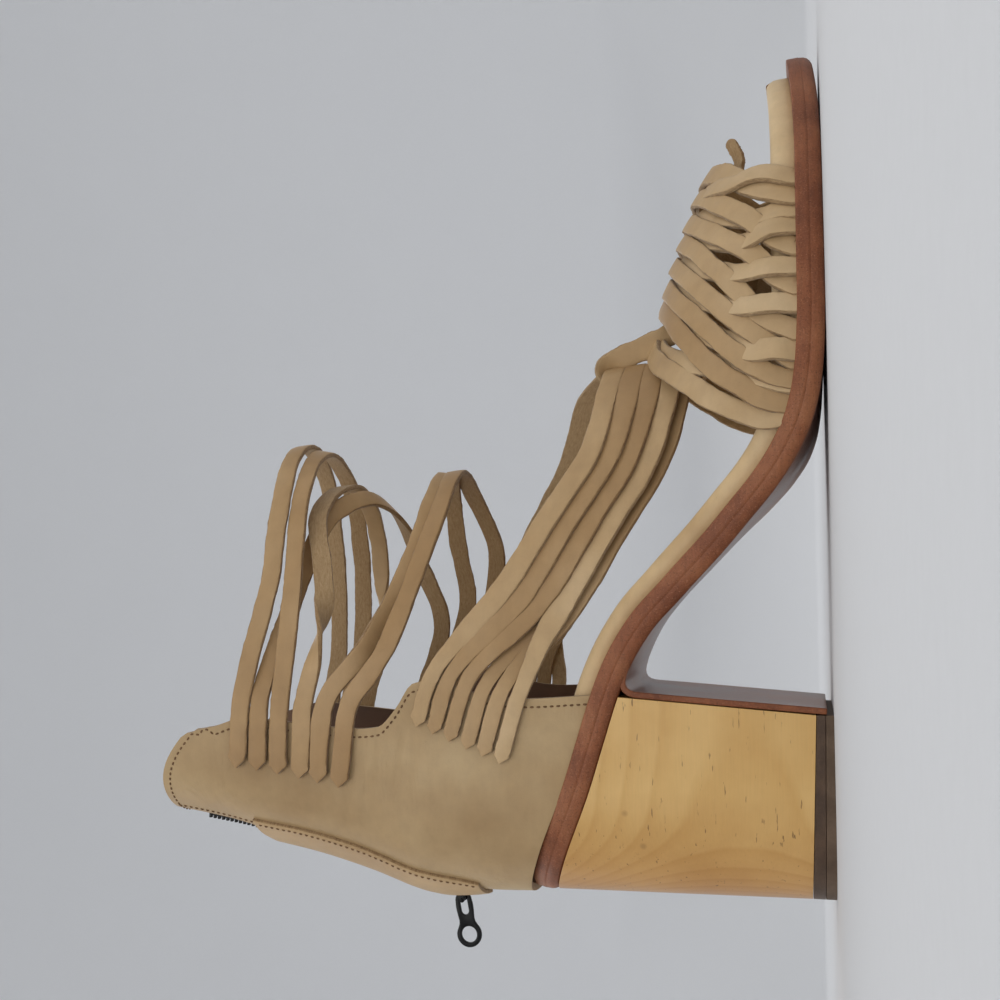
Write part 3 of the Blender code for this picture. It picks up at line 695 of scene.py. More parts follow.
def leather_grain(name, colours, roughness=(0.42, 0.62), toned=False, wrinkled=False):
    """Smooth vegetable-tanned grain: cloudy colour, fine pores and hair-thin wrinkles."""
    finish = Finish(name, 0.5, specular=0.28)
    finish.colour(finish.ramp(finish.noise(34.0, 3.0), *zip((0.32, 0.5, 0.70), colours)))
    mottle = finish.noise(3.6, 6.0, 0.62)
    finish.shade(0.55, mottle, (0.3, 0.84), (0.7, 1.0))
    pores = finish.ramp(finish.cells(0.55), (0.05, 0.62), (0.22, 1.0))
    finish.stain(finish.mask(0.5, finish.noise(1.9, 3.0), (0.48, 0.0), (0.62, 1.0)), pores, "MULTIPLY")
    streak = finish.noise(2.0, 4.0, 0.6, vector=finish.stretched((0.18, 1.0, 1.0)))
    finish.shade(0.25, streak, (0.35, 0.86), (0.6, 1.0))
    if toned:
        finish.warm_tone()
    finish.roughness(mottle, *roughness)
    finish.bump(finish.noise(0.9, 5.0, 0.6, 0.3), 0.05)
    finish.bump(pores, 0.02)
    if wrinkled:
        folds = finish.noise(3.6, 4.0, 0.55, 1.2, finish.stretched((0.24, 1.0, 1.0), turn=(0, 8, 0)))
        finish.bump(finish.mask(folds, finish.noise(26.0, 2.0), (0.46, 0.0), (0.66, 1.0)), 0.34)
    return finish.material


def leather_flesh(name, dark, light):
    """Napped flesh side or cut edge: lighter loose fibres drawn out along the strap."""
    finish = Finish(name, 0.92, specular=0.12, sheen=0.2)
    fibres = finish.noise(0.5, 6.0, 0.7, 0.8, finish.stretched((0.3, 1.0, 1.0), finish.attribute("along")))
    nap = finish.noise(0.3, 5.0, 0.75)
    finish.colour(finish.ramp(fibres, (0.30, dark), (0.70, light)))
    finish.shade(0.35, nap, (0.3, 0.80), (0.65, 1.0))
    finish.shade(0.3, finish.noise(7.0, 4.0), (0.3, 0.84), (0.7, 1.0))
    finish.warm_tone()
    finish.bump(fibres, 0.16)
    finish.bump(nap, 0.12)
    return finish.material


def stained_edge(name, colours):
    """Stained and waxed cut edge of the sole: packed fibres with pale specks and dark pits."""
    finish = Finish(name, 0.5, specular=0.32, coat=0.05)
    lines = finish.noise(1.1, 5.0, 0.7, 0.3, finish.stretched((0.14, 0.14, 1.0)))
    specks = finish.noise(0.5, 6.0, 0.8)
    finish.colour(finish.ramp(finish.noise(16.0, 4.0), *zip((0.3, 0.52, 0.72), colours)))
    finish.shade(0.5, lines, (0.32, 0.60), (0.62, 1.0))
    finish.stain(finish.mask(0.42, specks, (0.55, 0.0), (0.66, 1.0)), (200, 142, 108))
    finish.shade(0.8, finish.noise(0.45, 4.0, 0.8), (0.34, 0.35), (0.46, 1.0))
    finish.roughness(specks, 0.42, 0.7)
    finish.bump(lines, 0.08)
    finish.bump(specks, 0.06)
    return finish.material


def sole_leather():
    """Stained sole: glossy at the waist and down the breast, dark and worn dull under the ball of the foot."""
    finish = Finish("sole_leather", 0.3, specular=0.3)
    cloud = finish.noise(22.0, 5.0, 0.6)
    drift = finish.math("ADD", finish.axis("X"), finish.math("MULTIPLY", cloud, 22.0))
    tread = finish.span(drift, 16.0, 46.0)
    finish.colour(finish.ramp(cloud, (0.30, (108, 62, 42)), (0.52, (138, 86, 60)), (0.74, (160, 108, 80))))
    finish.stain(tread, finish.ramp(cloud, (0.30, (50, 34, 28)), (0.6, (72, 51, 42)), (0.74, (94, 71, 60))))
    streak = finish.noise(1.6, 6.0, 0.7, 0.4, finish.stretched((0.07, 1.0, 1.0)))
    finish.shade(0.4, streak, (0.34, 0.66), (0.62, 1.0))
    scuffs = finish.noise(0.9, 6.0, 0.8, 0.6, finish.stretched((0.28, 1.0, 1.0), turn=(0, 0, 14)))
    worn = finish.ramp(finish.noise(13.0, 3.0), (0.46, 0.0), (0.68, 1.0))
    pale = finish.mask(worn, scuffs, (0.52, 0.0), (0.68, 1.0))
    finish.stain(finish.math("MULTIPLY", pale, 0.5), (160, 130, 108))
    finish.roughness(finish.math("ADD", finish.math("MULTIPLY", cloud, 0.5), tread), 0.2, 0.72)
    finish.bump(scuffs, 0.05)
    finish.bump(streak, 0.04)
    return finish.material


PINE_HEART = (-80.0, 60.0, 24.0)     # place of the rings' middle


def pine():
    """Lacquered pine: quiet rings that run fore and aft, fine grain, short dark resin flecks and painted shade towards
    the rear.
    """
    finish = Finish("pine", 0.36, specular=0.4, coat=0.2)
    from_heart = finish.add("ShaderNodeVectorMath", {0: finish.place, 1: PINE_HEART}, operation="SUBTRACT").outputs[0]
    bent = finish.noise(30.0, 2.0, 0.5, vector=finish.stretched((0.4, 1.0, 1.0)))
    reach = finish.add("ShaderNodeVectorMath", {0: finish.stretched((0.02, 1.0, 1.0), from_heart)},
                       operation="LENGTH").outputs["Value"]
    reach = finish.math("ADD", reach, finish.math("MULTIPLY", bent, 1.6))
    phase = finish.math("FRACT", finish.math("MULTIPLY", reach, 0.42))
    finish.colour(finish.ramp(phase, (0.0, (224, 188, 124)), (0.5, (222, 185, 120)), (0.86, (216, 177, 111)),
                              (1.0, (223, 187, 123))))
    fine = finish.noise(0.45, 5.0, 0.6, 0.2, finish.stretched((0.03, 1.0, 1.0)))
    finish.shade(0.3, fine, (0.3, 0.84), (0.62, 1.0))
    finish.shade(0.6, finish.noise(24.0, 4.0), (0.3, (226, 206, 168)), (0.7, (255, 250, 240)))
    # Painted shade: the wood is darkened towards the back of the heel, where the block lies in shade.
    rear_painted_shade = finish.span(finish.axis("X"), -78.0, -108.0)
    finish.stain(finish.math("MULTIPLY", rear_painted_shade, 0.7), (198, 155, 96), "MULTIPLY")
    flecks = finish.noise(0.85, 3.0, 0.5, 0.0, finish.stretched((0.13, 1.0, 1.0)))
    finish.stain(finish.mask(0.7, flecks, (0.665, 0.0), (0.71, 1.0)), (92, 60, 30))
    finish.stain(finish.mask(0.35, finish.cells(15.0), (0.03, 1.0), (0.075, 0.0)), (120, 84, 46))
    finish.roughness(fine, 0.28, 0.44)
    finish.bump(fine, 0.02)
    return finish.material


def plain_stack(name, dark, light, roughness, grit=0.05, coat=0.0):
    """Dull moulded or pressed material: two shades in clouds, with fine specks that darken it, vary its roughness and
    give it grit.
    """
    finish = Finish(name, sum(roughness) / 2, specular=0.35, coat=coat)
    specks = finish.noise(0.6, 5.0, 0.75)
    finish.colour(finish.ramp(finish.noise(9.0, 5.0, 0.65), (0.32, dark), (0.68, light)))
    finish.shade(0.5, specks, (0.3, 0.66), (0.6, 1.0))
    finish.roughness(specks, *roughness)
    finish.bump(specks, grit)
    return finish.material


def zip_cloth():
    """Woven black tape: fine ribs across its length."""
    finish = Finish("zip_cloth", 0.8, specular=0.2, sheen=0.2)
    ribs = finish.add("ShaderNodeTexWave", {"Vector": finish.place, "Scale": 0.62, "Distortion": 0.3, "Detail": 1.0},
                      bands_direction="Z").outputs["Fac"]
    finish.colour(finish.ramp(ribs, (0.2, (16, 15, 16)), (0.8, (44, 42, 42))))
    finish.shade(0.5, finish.noise(0.4, 4.0, 0.7), (0.3, 0.6), (0.6, 1.0))
    finish.bump(ribs, 0.12)
    return finish.material


def zip_enamel():
    """Black lacquered metal, rubbed greyer where it is handled."""
    finish = Finish("zip_enamel", 0.3, specular=0.18, coat=0.03)
    rub = finish.noise(1.6, 5.0, 0.7)
    finish.colour(finish.ramp(rub, (0.46, (9, 9, 10)), (0.72, (22, 22, 23)), (0.86, (56, 54, 52))))
    finish.roughness(rub, 0.24, 0.45)
    finish.bump(finish.noise(0.5, 3.0), 0.015)
    return finish.material


FINISHES = {
    "upper": leather_grain("upper_grain", ((162, 133, 94), (176, 148, 108), (190, 164, 124)), wrinkled=True),
    "strap": leather_grain("strap_grain", ((178, 147, 106), (193, 163, 121), (206, 178, 138)), toned=True),
    "flesh": leather_flesh("strap_flesh", (166, 138, 102), (202, 177, 140)),
    "cut": leather_flesh("strap_cut_edge", (132, 104, 72), (196, 168, 128)),
    "footbed": leather_grain("footbed_grain", ((194, 162, 118), (211, 181, 136), (223, 196, 153)), (0.36, 0.52)),
    "lining": leather_grain("lining_brown", ((84, 60, 44), (106, 78, 58), (124, 94, 72)), (0.5, 0.7)),
    "edge": stained_edge("sole_edge", ((112, 60, 34), (140, 82, 50), (160, 102, 66))),
    "sole": sole_leather(),
    "pine": pine(),
    "lift": plain_stack("lift_leather", (68, 50, 36), (96, 74, 56), (0.4, 0.7), coat=0.05),
    "rubber": plain_stack("lift_rubber", (84, 66, 50), (112, 92, 74), (0.55, 0.8), 0.08),
    "thread": plain_stack("thread", (92, 66, 42), (128, 98, 68), (0.7, 0.9)),
    "cloth": zip_cloth(),
    "enamel": zip_enamel(),
}

# ---- sole ----
# Rims of the layers, from the lower face to the upper one.
OUTSOLE_RIM = (
    # share of the thickness, extra inset
    (0.0, 1.5),
    (0.12, 0.95),
    (0.34, 0.42),
    (0.62, 0.12),
    (0.95, 0.0),
    (1.0, 0.04),
)
MIDSOLE_RIM = ((0.0, 0.12), (0.04, 0.10), (0.07, 0.0), (0.25, 0.0), (0.9, 0.0), (0.97, 0.08), (1.0, 0.22))
FOOTBED_RIM = ((0.0, 0.3), (0.08, 0.05), (0.4, 0.0), (0.66, 0.12), (0.84, 0.55), (0.95, 1.15), (1.0, 2.0))
OUTSOLE_INSET = (0.08, 0.08)     # at the heel and at the toe
FOOTBED_DISH = 0.5           # how far the footbed's face is hollowed
TOE_CURVE_X = 96.0           # where the sole's round front begins
CAP_COLUMNS = 16             # across a layer's lower and upper faces
OVERLAP = 0.12               # how far a solid reaches into the gap beside it


def layer_places(heel_inset, toe_inset):
    """x places along a layer of the sole, close together at both round ends."""
    depth = HEEL_CURVE_X - HEEL_BACK_X - heel_inset
    reach = TOE_X - toe_inset - TOE_CURVE_X
    return [*(HEEL_CURVE_X - depth * math.sin(math.radians(a)) for a in np.linspace(89.0, 2.0, 26)),
            *np.linspace(HEEL_CURVE_X, TOE_CURVE_X, 110),
            *(TOE_CURVE_X + reach * math.sin(math.radians(a)) for a in np.linspace(4.0, 90.0, 26))]


def sole_layer(name, inset, low, high, rim, materials, slot, node, dish=0.0):
    """Layer of the sole between two heights over the outsole's underside; its upper face may be dished."""
    heel_inset, toe_inset = inset
    bm = bmesh.new()

    def side_ring(share, extra):
        lateral, medial = [], []
        for x in layer_places(heel_inset + extra, toe_inset + extra):
            here = float(np.interp(x, (-60.0, -10.0), (heel_inset, toe_inset))) + extra
            left, right = toe_edges(x, here)
            height = low(x) + share * (high(x) - low(x))
            lateral.append(above(x, left, height))
            medial.append(above(x, right, height))
        return lateral, medial

    levels = [side_ring(*step) for step in rim]
    rings = [[bm.verts.new(p) for p in (*lateral, *medial[::-1])] for lateral, medial in levels]
    skin(bm, rings, closed=True)
    for level, ring, sink in ((levels[0], rings[0], 0.0), (levels[-1], rings[-1], dish)):
        rows = []
        for k, (left, right) in enumerate(zip(*level)):
            row = [ring[k]]
            for share in np.arange(1, CAP_COLUMNS) / CAP_COLUMNS:
                x, y, z = (a + (b - a) * share for a, b in zip(left, right))
                row.append(bm.verts.new((x, y, z - sink * math.sin(math.pi * share) ** 0.7)))
            rows.append([*row, ring[-1 - k]])
        skin(bm, rows, kind=lambda r, c: len(materials) - 1)
    piece(name, bm, materials, slot, node, sharp=50.0)


def add_sole():
    """Three layers; they reach into the gaps that the model leaves between its solids."""
    seat = OUTSOLE_T + GAP
    sole_layer("sole_bottom", OUTSOLE_INSET, lambda x: 0.0, lambda x: OUTSOLE_T + OVERLAP, OUTSOLE_RIM,
               ("edge", "sole"), "sole_leather", "outsole")
    sole_layer("sole_middle", (0.0, 0.0), lambda x: seat - 0.2, lambda x: seat + MIDSOLE_T + 0.15, MIDSOLE_RIM,
               ("edge",), "stained_edge", "midsole")
    sole_layer("footbed_slab", FOOTBED_INSET, lambda x: DECK_T - 0.3, footbed_height, FOOTBED_RIM,
               ("footbed",), "footbed_leather", "footbed", FOOTBED_DISH)


# ---- heel ----
LIFT_SPLIT = 0.46            # share of the top lift that is rubber
RUBBER_SHARE = 1.012         # how far down the rubber's foot counts, so that it narrows a little more
TAPER_HALF = 27.0            # half width of the seat that the heel's taper is taken from


def heel_outline(steps_round=22, steps_side=10):
    """Seat-level places round the block from the lateral breast corner over the back to the medial one."""
    depth = HEEL_CURVE_X - HEEL_BACK_X - HEEL_INSET
    half = [BREAST_X + (HEEL_CURVE_X - BREAST_X) * k / steps_side for k in range(steps_side)]
    half += [HEEL_CURVE_X - depth * math.sin(math.radians(a)) for a in np.linspace(0, 88.5, steps_round)]
    lateral, medial = zip(*(edges(x, HEEL_INSET) for x in half))
    return [*zip(half, lateral), *zip(half[::-1], medial[::-1])]


def heel_solid(name, levels, material, bevel, slot, *nodes):
    """Solid through rings round the heel. A level is its share of the way down and a height function, which
    reads the place at the seat."""
    bm = bmesh.new()
    rings = []
    for share, height in levels:
        squeeze = 1.0 - HEEL_TAPER / TAPER_HALF * share
        rings.append([bm.verts.new((heel_x(x, share), y * squeeze, height(x, y))) for x, y in heel_outline()])
    skin(bm, rings, closed=True)
    middle = len(rings[0]) // 2
    for ring in (rings[0], rings[-1]):
        skin(bm, [ring[:middle], ring[:middle - 1:-1]])
    soft_edges(piece(name, bm, (material,), slot, *nodes, sharp=35.0), bevel, 3, 50).harden_normals = True


def add_heel():
    def in_block(share):
        def height(x, y):
            top = underside(x, y) - OVERLAP
            return top + (lift_top(heel_x(x, 1.0)) + OVERLAP - top) * share
        return height

    def in_lift(low, share):
        return lambda x, y: low + share * lift_top(heel_x(x, 1.0))

    heel_solid("heel_block_pine", [(share, in_block(share)) for share in np.linspace(0.0, 1.0, 9)],
               "pine", 0.45, "pine", "heel_block")
    heel_solid("top_lift_leather", [(1.0, in_lift(0.1, LIFT_SPLIT)), (1.0, in_lift(0.0, 1.0))],
               "lift", 0.22, "top_lift", "top_lift")
    heel_solid("top_lift_rubber", [(RUBBER_SHARE, in_lift(0.0, 0.0)), (1.0, in_lift(0.0, LIFT_SPLIT))],
               "rubber", 0.35, "top_lift")


# The leather that covers the heel breast.
COVER_SUNK = 0.15            # its inner face in the wood
COVER_PROUD = 0.2            # its outer face under the sole's
COVER_BEND = 4.4             # size of the curve between them
COVER_END_Z = 0.8
COVER_WIDER = 0.5            # than half the model's at the top
COVER_CURL = 0.25            # how far its side edges stand forward
# Near the sole it follows the sole's tilt from side to side, less and less over this height.
TILT_FROM, TILT_OVER = 14.0, 12.0


def cover_line():
    """The cover's middle line: under the waist, round a soft bend and down the breast."""
    def face_x(share):
        return heel_x(BREAST_X, share) + COVER_T - COVER_SUNK

    corner = (face_x(0.0), underside(face_x(0.0)) - COVER_PROUD)
    lower = (face_x(0.08), corner[1] - COVER_BEND)
    bend_x = corner[0] + COVER_BEND
    path = [(x, underside(x) + sunk) for x, sunk in ((bend_x + 5.0, 0.5), (bend_x + 2.4, 0.1), (bend_x, -COVER_PROUD))]
    for t in np.linspace(0.1, 1.0, 12):
        path.append(tuple((1 - t) ** 2 * a + 2 * t * (1 - t) * b + t * t * c
                          for a, b, c in zip(path[2], corner, lower)))
    for share in np.linspace(0.1, 0.985, 24):
        path.append((face_x(share), COVER_END_Z + (lower[1] - COVER_END_Z) * (1 - share) / 0.92))
    return evenly(softened(np.array([(x, z, 0.0) for x, z in path]), 1), 60), corner[1]


def add_breast_cover():
    line, corner_z = cover_line()
    rows = []
    for share, (x, z, _) in zip(np.linspace(0.0, 1.0, len(line)), line):
        half = COVER_HALF + COVER_WIDER - HEEL_TAPER * share
        tilt = clamp((z - corner_z + TILT_FROM) / TILT_OVER)
        row = []
        for side in np.linspace(-1, 1, 25):
            y = side * half + COVER_MIDDLE
            row.append((x + COVER_CURL * abs(side) ** 6, y, z + tilt * (underside(x, y) - underside(x))))
        rows.append(row)
    sheet("breast_cover", rows, COVER_T, 1.0, ("sole", "sole", "edge"), "sole_leather", "heel_breast_cover")


# ---- heel cup ----
CUP_SLIT_ROWS = 16           # grid rows below the zip's gap
CUP_SLIT_SHARE = 0.22        # share of the height that they take up
CUP_ROWS = 72
CUP_SIDE_COLUMNS = 54
CUP_GAP_COLUMNS = 4
CUP_SUNK = 1.1               # how far the visible cup reaches below the model's
CUP_FOOT_Z, CUP_HEAD_Z = 72.0, 172.0     # heights at which its lower and upper edges are read
CORNER_FROM = 1.72           # turn from which the top edge rounds down to the front edge
# Soft creases across the lateral side above the heel: height, depth, half width; they run fore and aft.
CREASES = (
    # z, depth, width, from x, to x
    (108.2, 0.18, 0.8, -80.0, -66.0),
    (112.0, 0.32, 0.9, -84.0, -62.0),
    (115.4, 0.24, 0.8, -82.0, -66.0),
    (118.6, 0.30, 1.0, -88.0, -64.0),
    (122.6, 0.22, 0.8, -86.0, -68.0),
    (127.0, 0.26, 0.9, -90.0, -70.0),
    (131.2, 0.18, 0.8, -88.0, -72.0),
    (135.8, 0.20, 0.9, -91.0, -76.0),
)
# Above the flap the edges beside the zip fall back: how far, from which height, over which height, half width.
RECESS, RECESS_Z, RECESS_HIGH, RECESS_HALF = 2.2, 155.0, 6.0, 15.0
RECESS_FRONT_X = -66.0
MEDIAL_CREASES_UP = 2.0      # how much higher the creases lie on the medial side


def crease_depth(x, y, z):
    """How far the cup's face is pressed in by its creases and by slight waves of the leather."""
    depth = 0.0
    if x < RECESS_FRONT_X:
        depth = RECESS * clamp((z - RECESS_Z) / RECESS_HIGH) * math.exp(-(y / RECESS_HALF) ** 4)
    for at, deep, width, start, end in CREASES:
        if y > 0:
            at += MEDIAL_CREASES_UP
        span = clamp(min((x - start) / 5.0, (end - x) / 5.0))
        from_crease = z - at - 0.8 * math.sin(x * 0.21 + at)
        depth += deep * span * math.exp(-(from_crease / width) ** 2)
        depth -= 0.4 * deep * span * math.exp(-((from_crease - 1.7 * width) / width) ** 2)
    return depth + 0.10 * math.sin(x * 0.11 + z * 0.05) * math.sin(z * 0.09 + 1.0 + y * 0.02)


def cup_turns():
    """Columns from beside the zip to the front edge, closer together at both ends."""
    shares = np.linspace(0.0, 1.0, CUP_SIDE_COLUMNS)
    return 2.0 * (0.5 - 0.5 * np.cos(np.pi * shares)) * 0.35 + 2.0 * shares * 0.65


def cup_span(side, turn):
    """Lower and upper end of a column of the cup."""
    at = side * max(turn, 0.1)
    foot_x, foot_y, _ = cup_point(at, CUP_FOOT_Z)
    head_x, _, _ = cup_point(at, CUP_HEAD_Z)
    drop = max(0.0, (turn - CORNER_FROM) / (2.0 - CORNER_FROM))
    return (deck(foot_x, foot_y, DECK_T) + QUARTER_SEAT - CUP_SUNK,
            cup_top(head_x) - CORNER_DROP * drop * drop * (3 - 2 * drop))


def cup_face(side, turn, share):
    """Point of the cup's outer face at a column and a share of its height; the columns spread with the gap."""
    low, top = cup_span(side, turn)
    z = low + share * (top - low)
    edge = cup_turn_at(slit_half(z), z)
    return np.array(cup_point(side * (edge + (2.0 - edge) * turn / 2.0), z))


def cup_normal(x, y, z):
    """Level outward direction of the cup's face."""
    back = smooth(CUP, z, 1)
    half = smooth(CUP, z, 2)
    if x > back + CUP_ROUND:
        return np.array((0.0, math.copysign(1.0, y), 0.0))
    a = max(1e-6, (back + CUP_ROUND - x) / CUP_ROUND)
    b = max(1e-6, abs(y) / half)
    power = HEEL_ROUNDNESS - 1.0
    way = np.array((-(a ** power) / CUP_ROUND, math.copysign(b ** power / half, y), 0.0))
    return unit(way)


def add_quarter():
    turns = cup_turns()
    low, top = cup_span(-1, 0.0)
    rows = []
    for share in (*np.linspace(0.0, CUP_SLIT_SHARE, CUP_SLIT_ROWS), *np.linspace(CUP_SLIT_SHARE, 1.0, CUP_ROWS)[1:]):
        z = low + share * (top - low)
        half = slit_half(z)
        across = (-half + 2 * half * k / CUP_GAP_COLUMNS for k in range(1, CUP_GAP_COLUMNS))
        row = [cup_face(-1, turn, share) for turn in turns[::-1]]
        row += [np.array(cup_point(cup_turn_at(y, z), z)) for y in across]
        row += [cup_face(1, turn, share) for turn in turns]
        rows.append([point - cup_normal(*point) * crease_depth(*point) for point in row])
    gap_from = len(turns) - 1

    def keep(r, c):
        return not gap_from <= c < gap_from + CUP_GAP_COLUMNS or r < CUP_SLIT_ROWS - 1

    sheet("heel_cup", rows, QUARTER_T, 1.0, ("lining", "upper", "cut"), "upper_leather", "quarter", keep, bevel=0.35)


# ---- stitches ----
STITCH_PITCH = 1.75
STITCH_LENGTH = 1.15
STITCH_R = 0.26
STITCH_LIFT = 0.05
# A stitch is a short thread whose ends sink into the leather.
STITCH = (
    # place in lengths, size in radii, height
    (-0.5, 0.35, -0.16),
    (-0.28, 0.9, 0.02),
    (0.0, 1.0, 0.08),
    (0.28, 0.9, 0.02),
    (0.5, 0.35, -0.16),
)
EDGE_STITCH_INSET = 2.2      # from the cup's front and top edges
CORNER_TURN = 1.85           # where the row along the front edge passes into the one along the top


def stitch_row(name, line, out):
    """Row of stitches along a line on a face whose outward directions are out."""
    line, out = np.array(line, dtype=float), np.array(out, dtype=float)
    run = travel(line)
    rng = np.random.default_rng(len(name))
    bm = bmesh.new()
    for middle in np.arange(STITCH_PITCH / 2, run[-1], STITCH_PITCH):
        rings = []
        for at, size, height in STITCH:
            s = middle + at * STITCH_LENGTH
            behind, point, before = read_at([s - 0.2, s, s + 0.2], run, line)
            up = unit(read_at([s], run, out)[0])
            side = np.cross(unit(before - behind + 1e-9), up)
            centre = point + up * (STITCH_LIFT + height) + side * rng.normal(0, 0.02)
            rings.append([bm.verts.new(centre + (side * math.cos(a) + up * 0.8 * math.sin(a)) * STITCH_R * size)
                          for a in circle(6)])
        skin(bm, rings, closed=True)
        bm.faces.new(rings[0][::-1])
        bm.faces.new(rings[-1])
    piece(name, bm, ("thread",), "upper_leather")


def add_cup_stitches():
    """Stitches along the front and top edges of the cup."""
    steps = 160
    inset = EDGE_STITCH_INSET
    for side, label in ((-1, "lateral"), (1, "medial")):
        line = []
        low, top = cup_span(side, 2.0)
        for z in np.linspace(low + 1.0, top - inset * 1.1, steps):
            x = smooth(CUP, z, 3) - inset
            line.append((x, side * cup_side(x, z), z))
        for turn in np.linspace(1.97, 0.14, steps):
            if turn <= CORNER_TURN:
                low, top = cup_span(side, turn)
                line.append(cup_face(side, turn, (top - low - inset) / (top - low)))
        line = np.array(line)
        out = np.array([cup_normal(*p) for p in line])
        pressed = np.array([crease_depth(*p) for p in line])
        stitch_row(f"edge_stitches_{label}", line - out * pressed[:, None], out)


# ---- straps over instep and ankle ----
STATIONS = 150               # samples along each strap
GLUED_OUT = 0.85             # a strap's middle over the cup's face where it is glued on
# Twist of each ankle strap about its line, by share of its length from the lateral end.
ANKLE_TWIST = (
    ((0.0, 0.0), (0.12, 0.0), (0.35, 6.0), (0.5, -6.0), (0.65, 6.0), (0.88, 0.0), (1.0, 0.0)),
    ((0.0, 0.0), (0.14, 0.0), (0.28, 14.0), (0.38, 40.0), (0.48, 56.0), (0.58, 40.0), (0.68, 10.0), (0.88, 0.0),
     (1.0, 0.0)),
    ((0.0, 0.0), (0.12, 0.0), (0.35, -8.0), (0.5, 10.0), (0.66, -6.0), (0.88, 0.0), (1.0, 0.0)),
    ((0.0, 0.0), (0.12, 0.0), (0.20, -60.0), (0.27, -162.0), (0.5, -184.0), (0.68, -180.0), (0.84, -30.0), (1.0, 0.0)),
    ((0.0, 0.0), (0.13, 8.0), (0.22, 50.0), (0.31, 12.0), (0.5, 10.0), (0.66, -8.0), (0.88, 0.0), (1.0, 0.0)),
    ((0.0, 0.0), (0.12, 0.0), (0.34, -10.0), (0.5, -6.0), (0.66, 10.0), (0.88, 0.0), (1.0, 0.0)),
)
# The lowest strap rises beside the fifth; this is how much its line is lifted and moved ahead, by station.
LAST_LIFT = (0.0, 0.0, 0.0, 0.6, 2.0, 3.6, 4.6, 4.8, 4.6, 4.0, 3.0, 2.0, 1.0, 0.4, 0.0, 0.0, 0.0)
LAST_AHEAD = 4.6
ANKLE_VISIBLE_W = 5.3
ANKLE_POINT = 2.5            # length over which a strap narrows to its end
ANKLE_TONE = (0.81, 0.76, 0.77, 0.82, 0.75, 0.71)


def ankle_route(number, inside, apex_x, heights):
    """Points that an ankle strap runs through, from its lateral end over the apex to its medial end."""
    stations = [("end", ANKLE_END_X[number - 1], False, None), ("edge", ANKLE_EDGE_X, False, None), *ANKLE_PLACES]
    middle = len(heights) // 2
    route = []
    for order, z in enumerate(heights):
        if order == middle:
            route.append((apex_x, 0.0, z))
            continue
        _, x, from_apex, half = stations[min(order, len(heights) - 1 - order)]
        if from_apex:
            x = apex_x - x
        y = cup_side(x, z) + GLUED_OUT if half is None else half - inside * half / STRAP_HALF
        route.append((x, -y if order < middle else y, z))
    return route


def add_ankle_straps():
    for number, (inside, apex_x, *heights) in enumerate(ANKLE, 1):
        if number == len(ANKLE):
            apex_x += LAST_AHEAD
            heights = [z + more for z, more in zip(heights, LAST_LIFT)]
        line = softened(through(ankle_route(number, inside, apex_x, heights), STATIONS), 14)
        out = twisted(line, outward(line), along_table(ANKLE_TWIST[number - 1], STATIONS))
        line, out = fine_ends(line, out)
        band(f"ankle_band_{number}", f"ankle_strap_{number}", line, out,
             pointed(line, ANKLE_VISIBLE_W / 2, ANKLE_POINT), ANKLE_TONE[number - 1], seed=number)


INSTEP_TONE = (0.90, 0.76, 0.74, 0.77, 0.82, 0.98)
# Each strap's share across the route at the cup and in the bundle, and how far it lies behind. The lowest one lies
# outside in the bundle, and the fifth passes behind it.
BUNDLE = (
    (0.0, 0.0, 0.0),
    (0.2, 0.333, 0.0),
    (0.4, 0.667, 0.0),
    (0.605, 0.845, 2.7),
    (0.8, 1.14, 2.6),
    (1.0, 1.0, 0.0),
)
INSTEP_CUP_W = 4.2           # width at the cup
INSTEP_VISIBLE_W = 6.4
INSTEP_POINT = 2.0
# On the medial side the straps lie closer together: lift of each one, and its share by station behind the apex.
MEDIAL_LIFT = (13.8, 6.4, 6.4, 8.4, 9.2, 10.6)
MEDIAL_SHARE = (0.6, 1.05, 1.12, 1.05, 0.8, 0.45, 0.1, 0.0)
# The first one shows beside the bundle's top.
FIRST_SHARE = (0.76, 1.02, 0.98, 0.92, 0.76, 0.45, 0.1, 0.0)
APEX_AHEAD = 1.2             # how far the apex lies before the model's
# Stations over which a strap takes its place in the bundle, and over which the bundle tightens: first one, length.
SETTLES, TIGHTENS = (1.9, 2.1), (1.8, 5.6)
CUP_STATIONS = 2             # those that lie on the cup
AHEAD_FROM = 6               # station from which the apex moves ahead
BUNDLE_TIGHT = 0.17          # share by which the straps lie closer halfway between cup and apex
# Twist of the instep straps by share of their length.
INSTEP_TURN = ((0.0, 0.0), (0.13, 0.0), (0.22, -12.0), (0.3, -16.0), (0.38, -12.0), (0.44, -7.0), (0.56, -7.0),
               (0.76, -9.0), (0.87, 0.0), (1.0, 0.0))


def instep_route(number, at_cup, in_bundle, behind):
    """Points that an instep strap runs through, each with its width and how far it lies behind."""
    lateral = []
    for order, (top, bottom) in enumerate(zip(INSTEP_TOP, INSTEP_BOTTOM)):
        settled = clamp((order - SETTLES[0]) / SETTLES[1])
        share = at_cup + (in_bundle - at_cup) * settled
        share *= 1.0 - BUNDLE_TIGHT * math.sin(math.pi * clamp((order - TIGHTENS[0]) / TIGHTENS[1]))
        x, y, z = (a + (b - a) * share for a, b in zip(top, bottom))
        y = -(cup_side(x, z) + GLUED_OUT) if order < CUP_STATIONS else y * STRAP_HALF
        lateral.append((x + APEX_AHEAD * max(0, order - AHEAD_FROM) / 2.0, y, z,
                        INSTEP_CUP_W + (INSTEP_VISIBLE_W - INSTEP_CUP_W) * settled, behind * clamp(order - 1.0)))
    lifts = FIRST_SHARE if number == 1 else MEDIAL_SHARE
    return lateral + [(x, -y, z + MEDIAL_LIFT[number - 1] * share, *rest)
                      for (x, y, z, *rest), share in zip(lateral[-2::-1], lifts)]


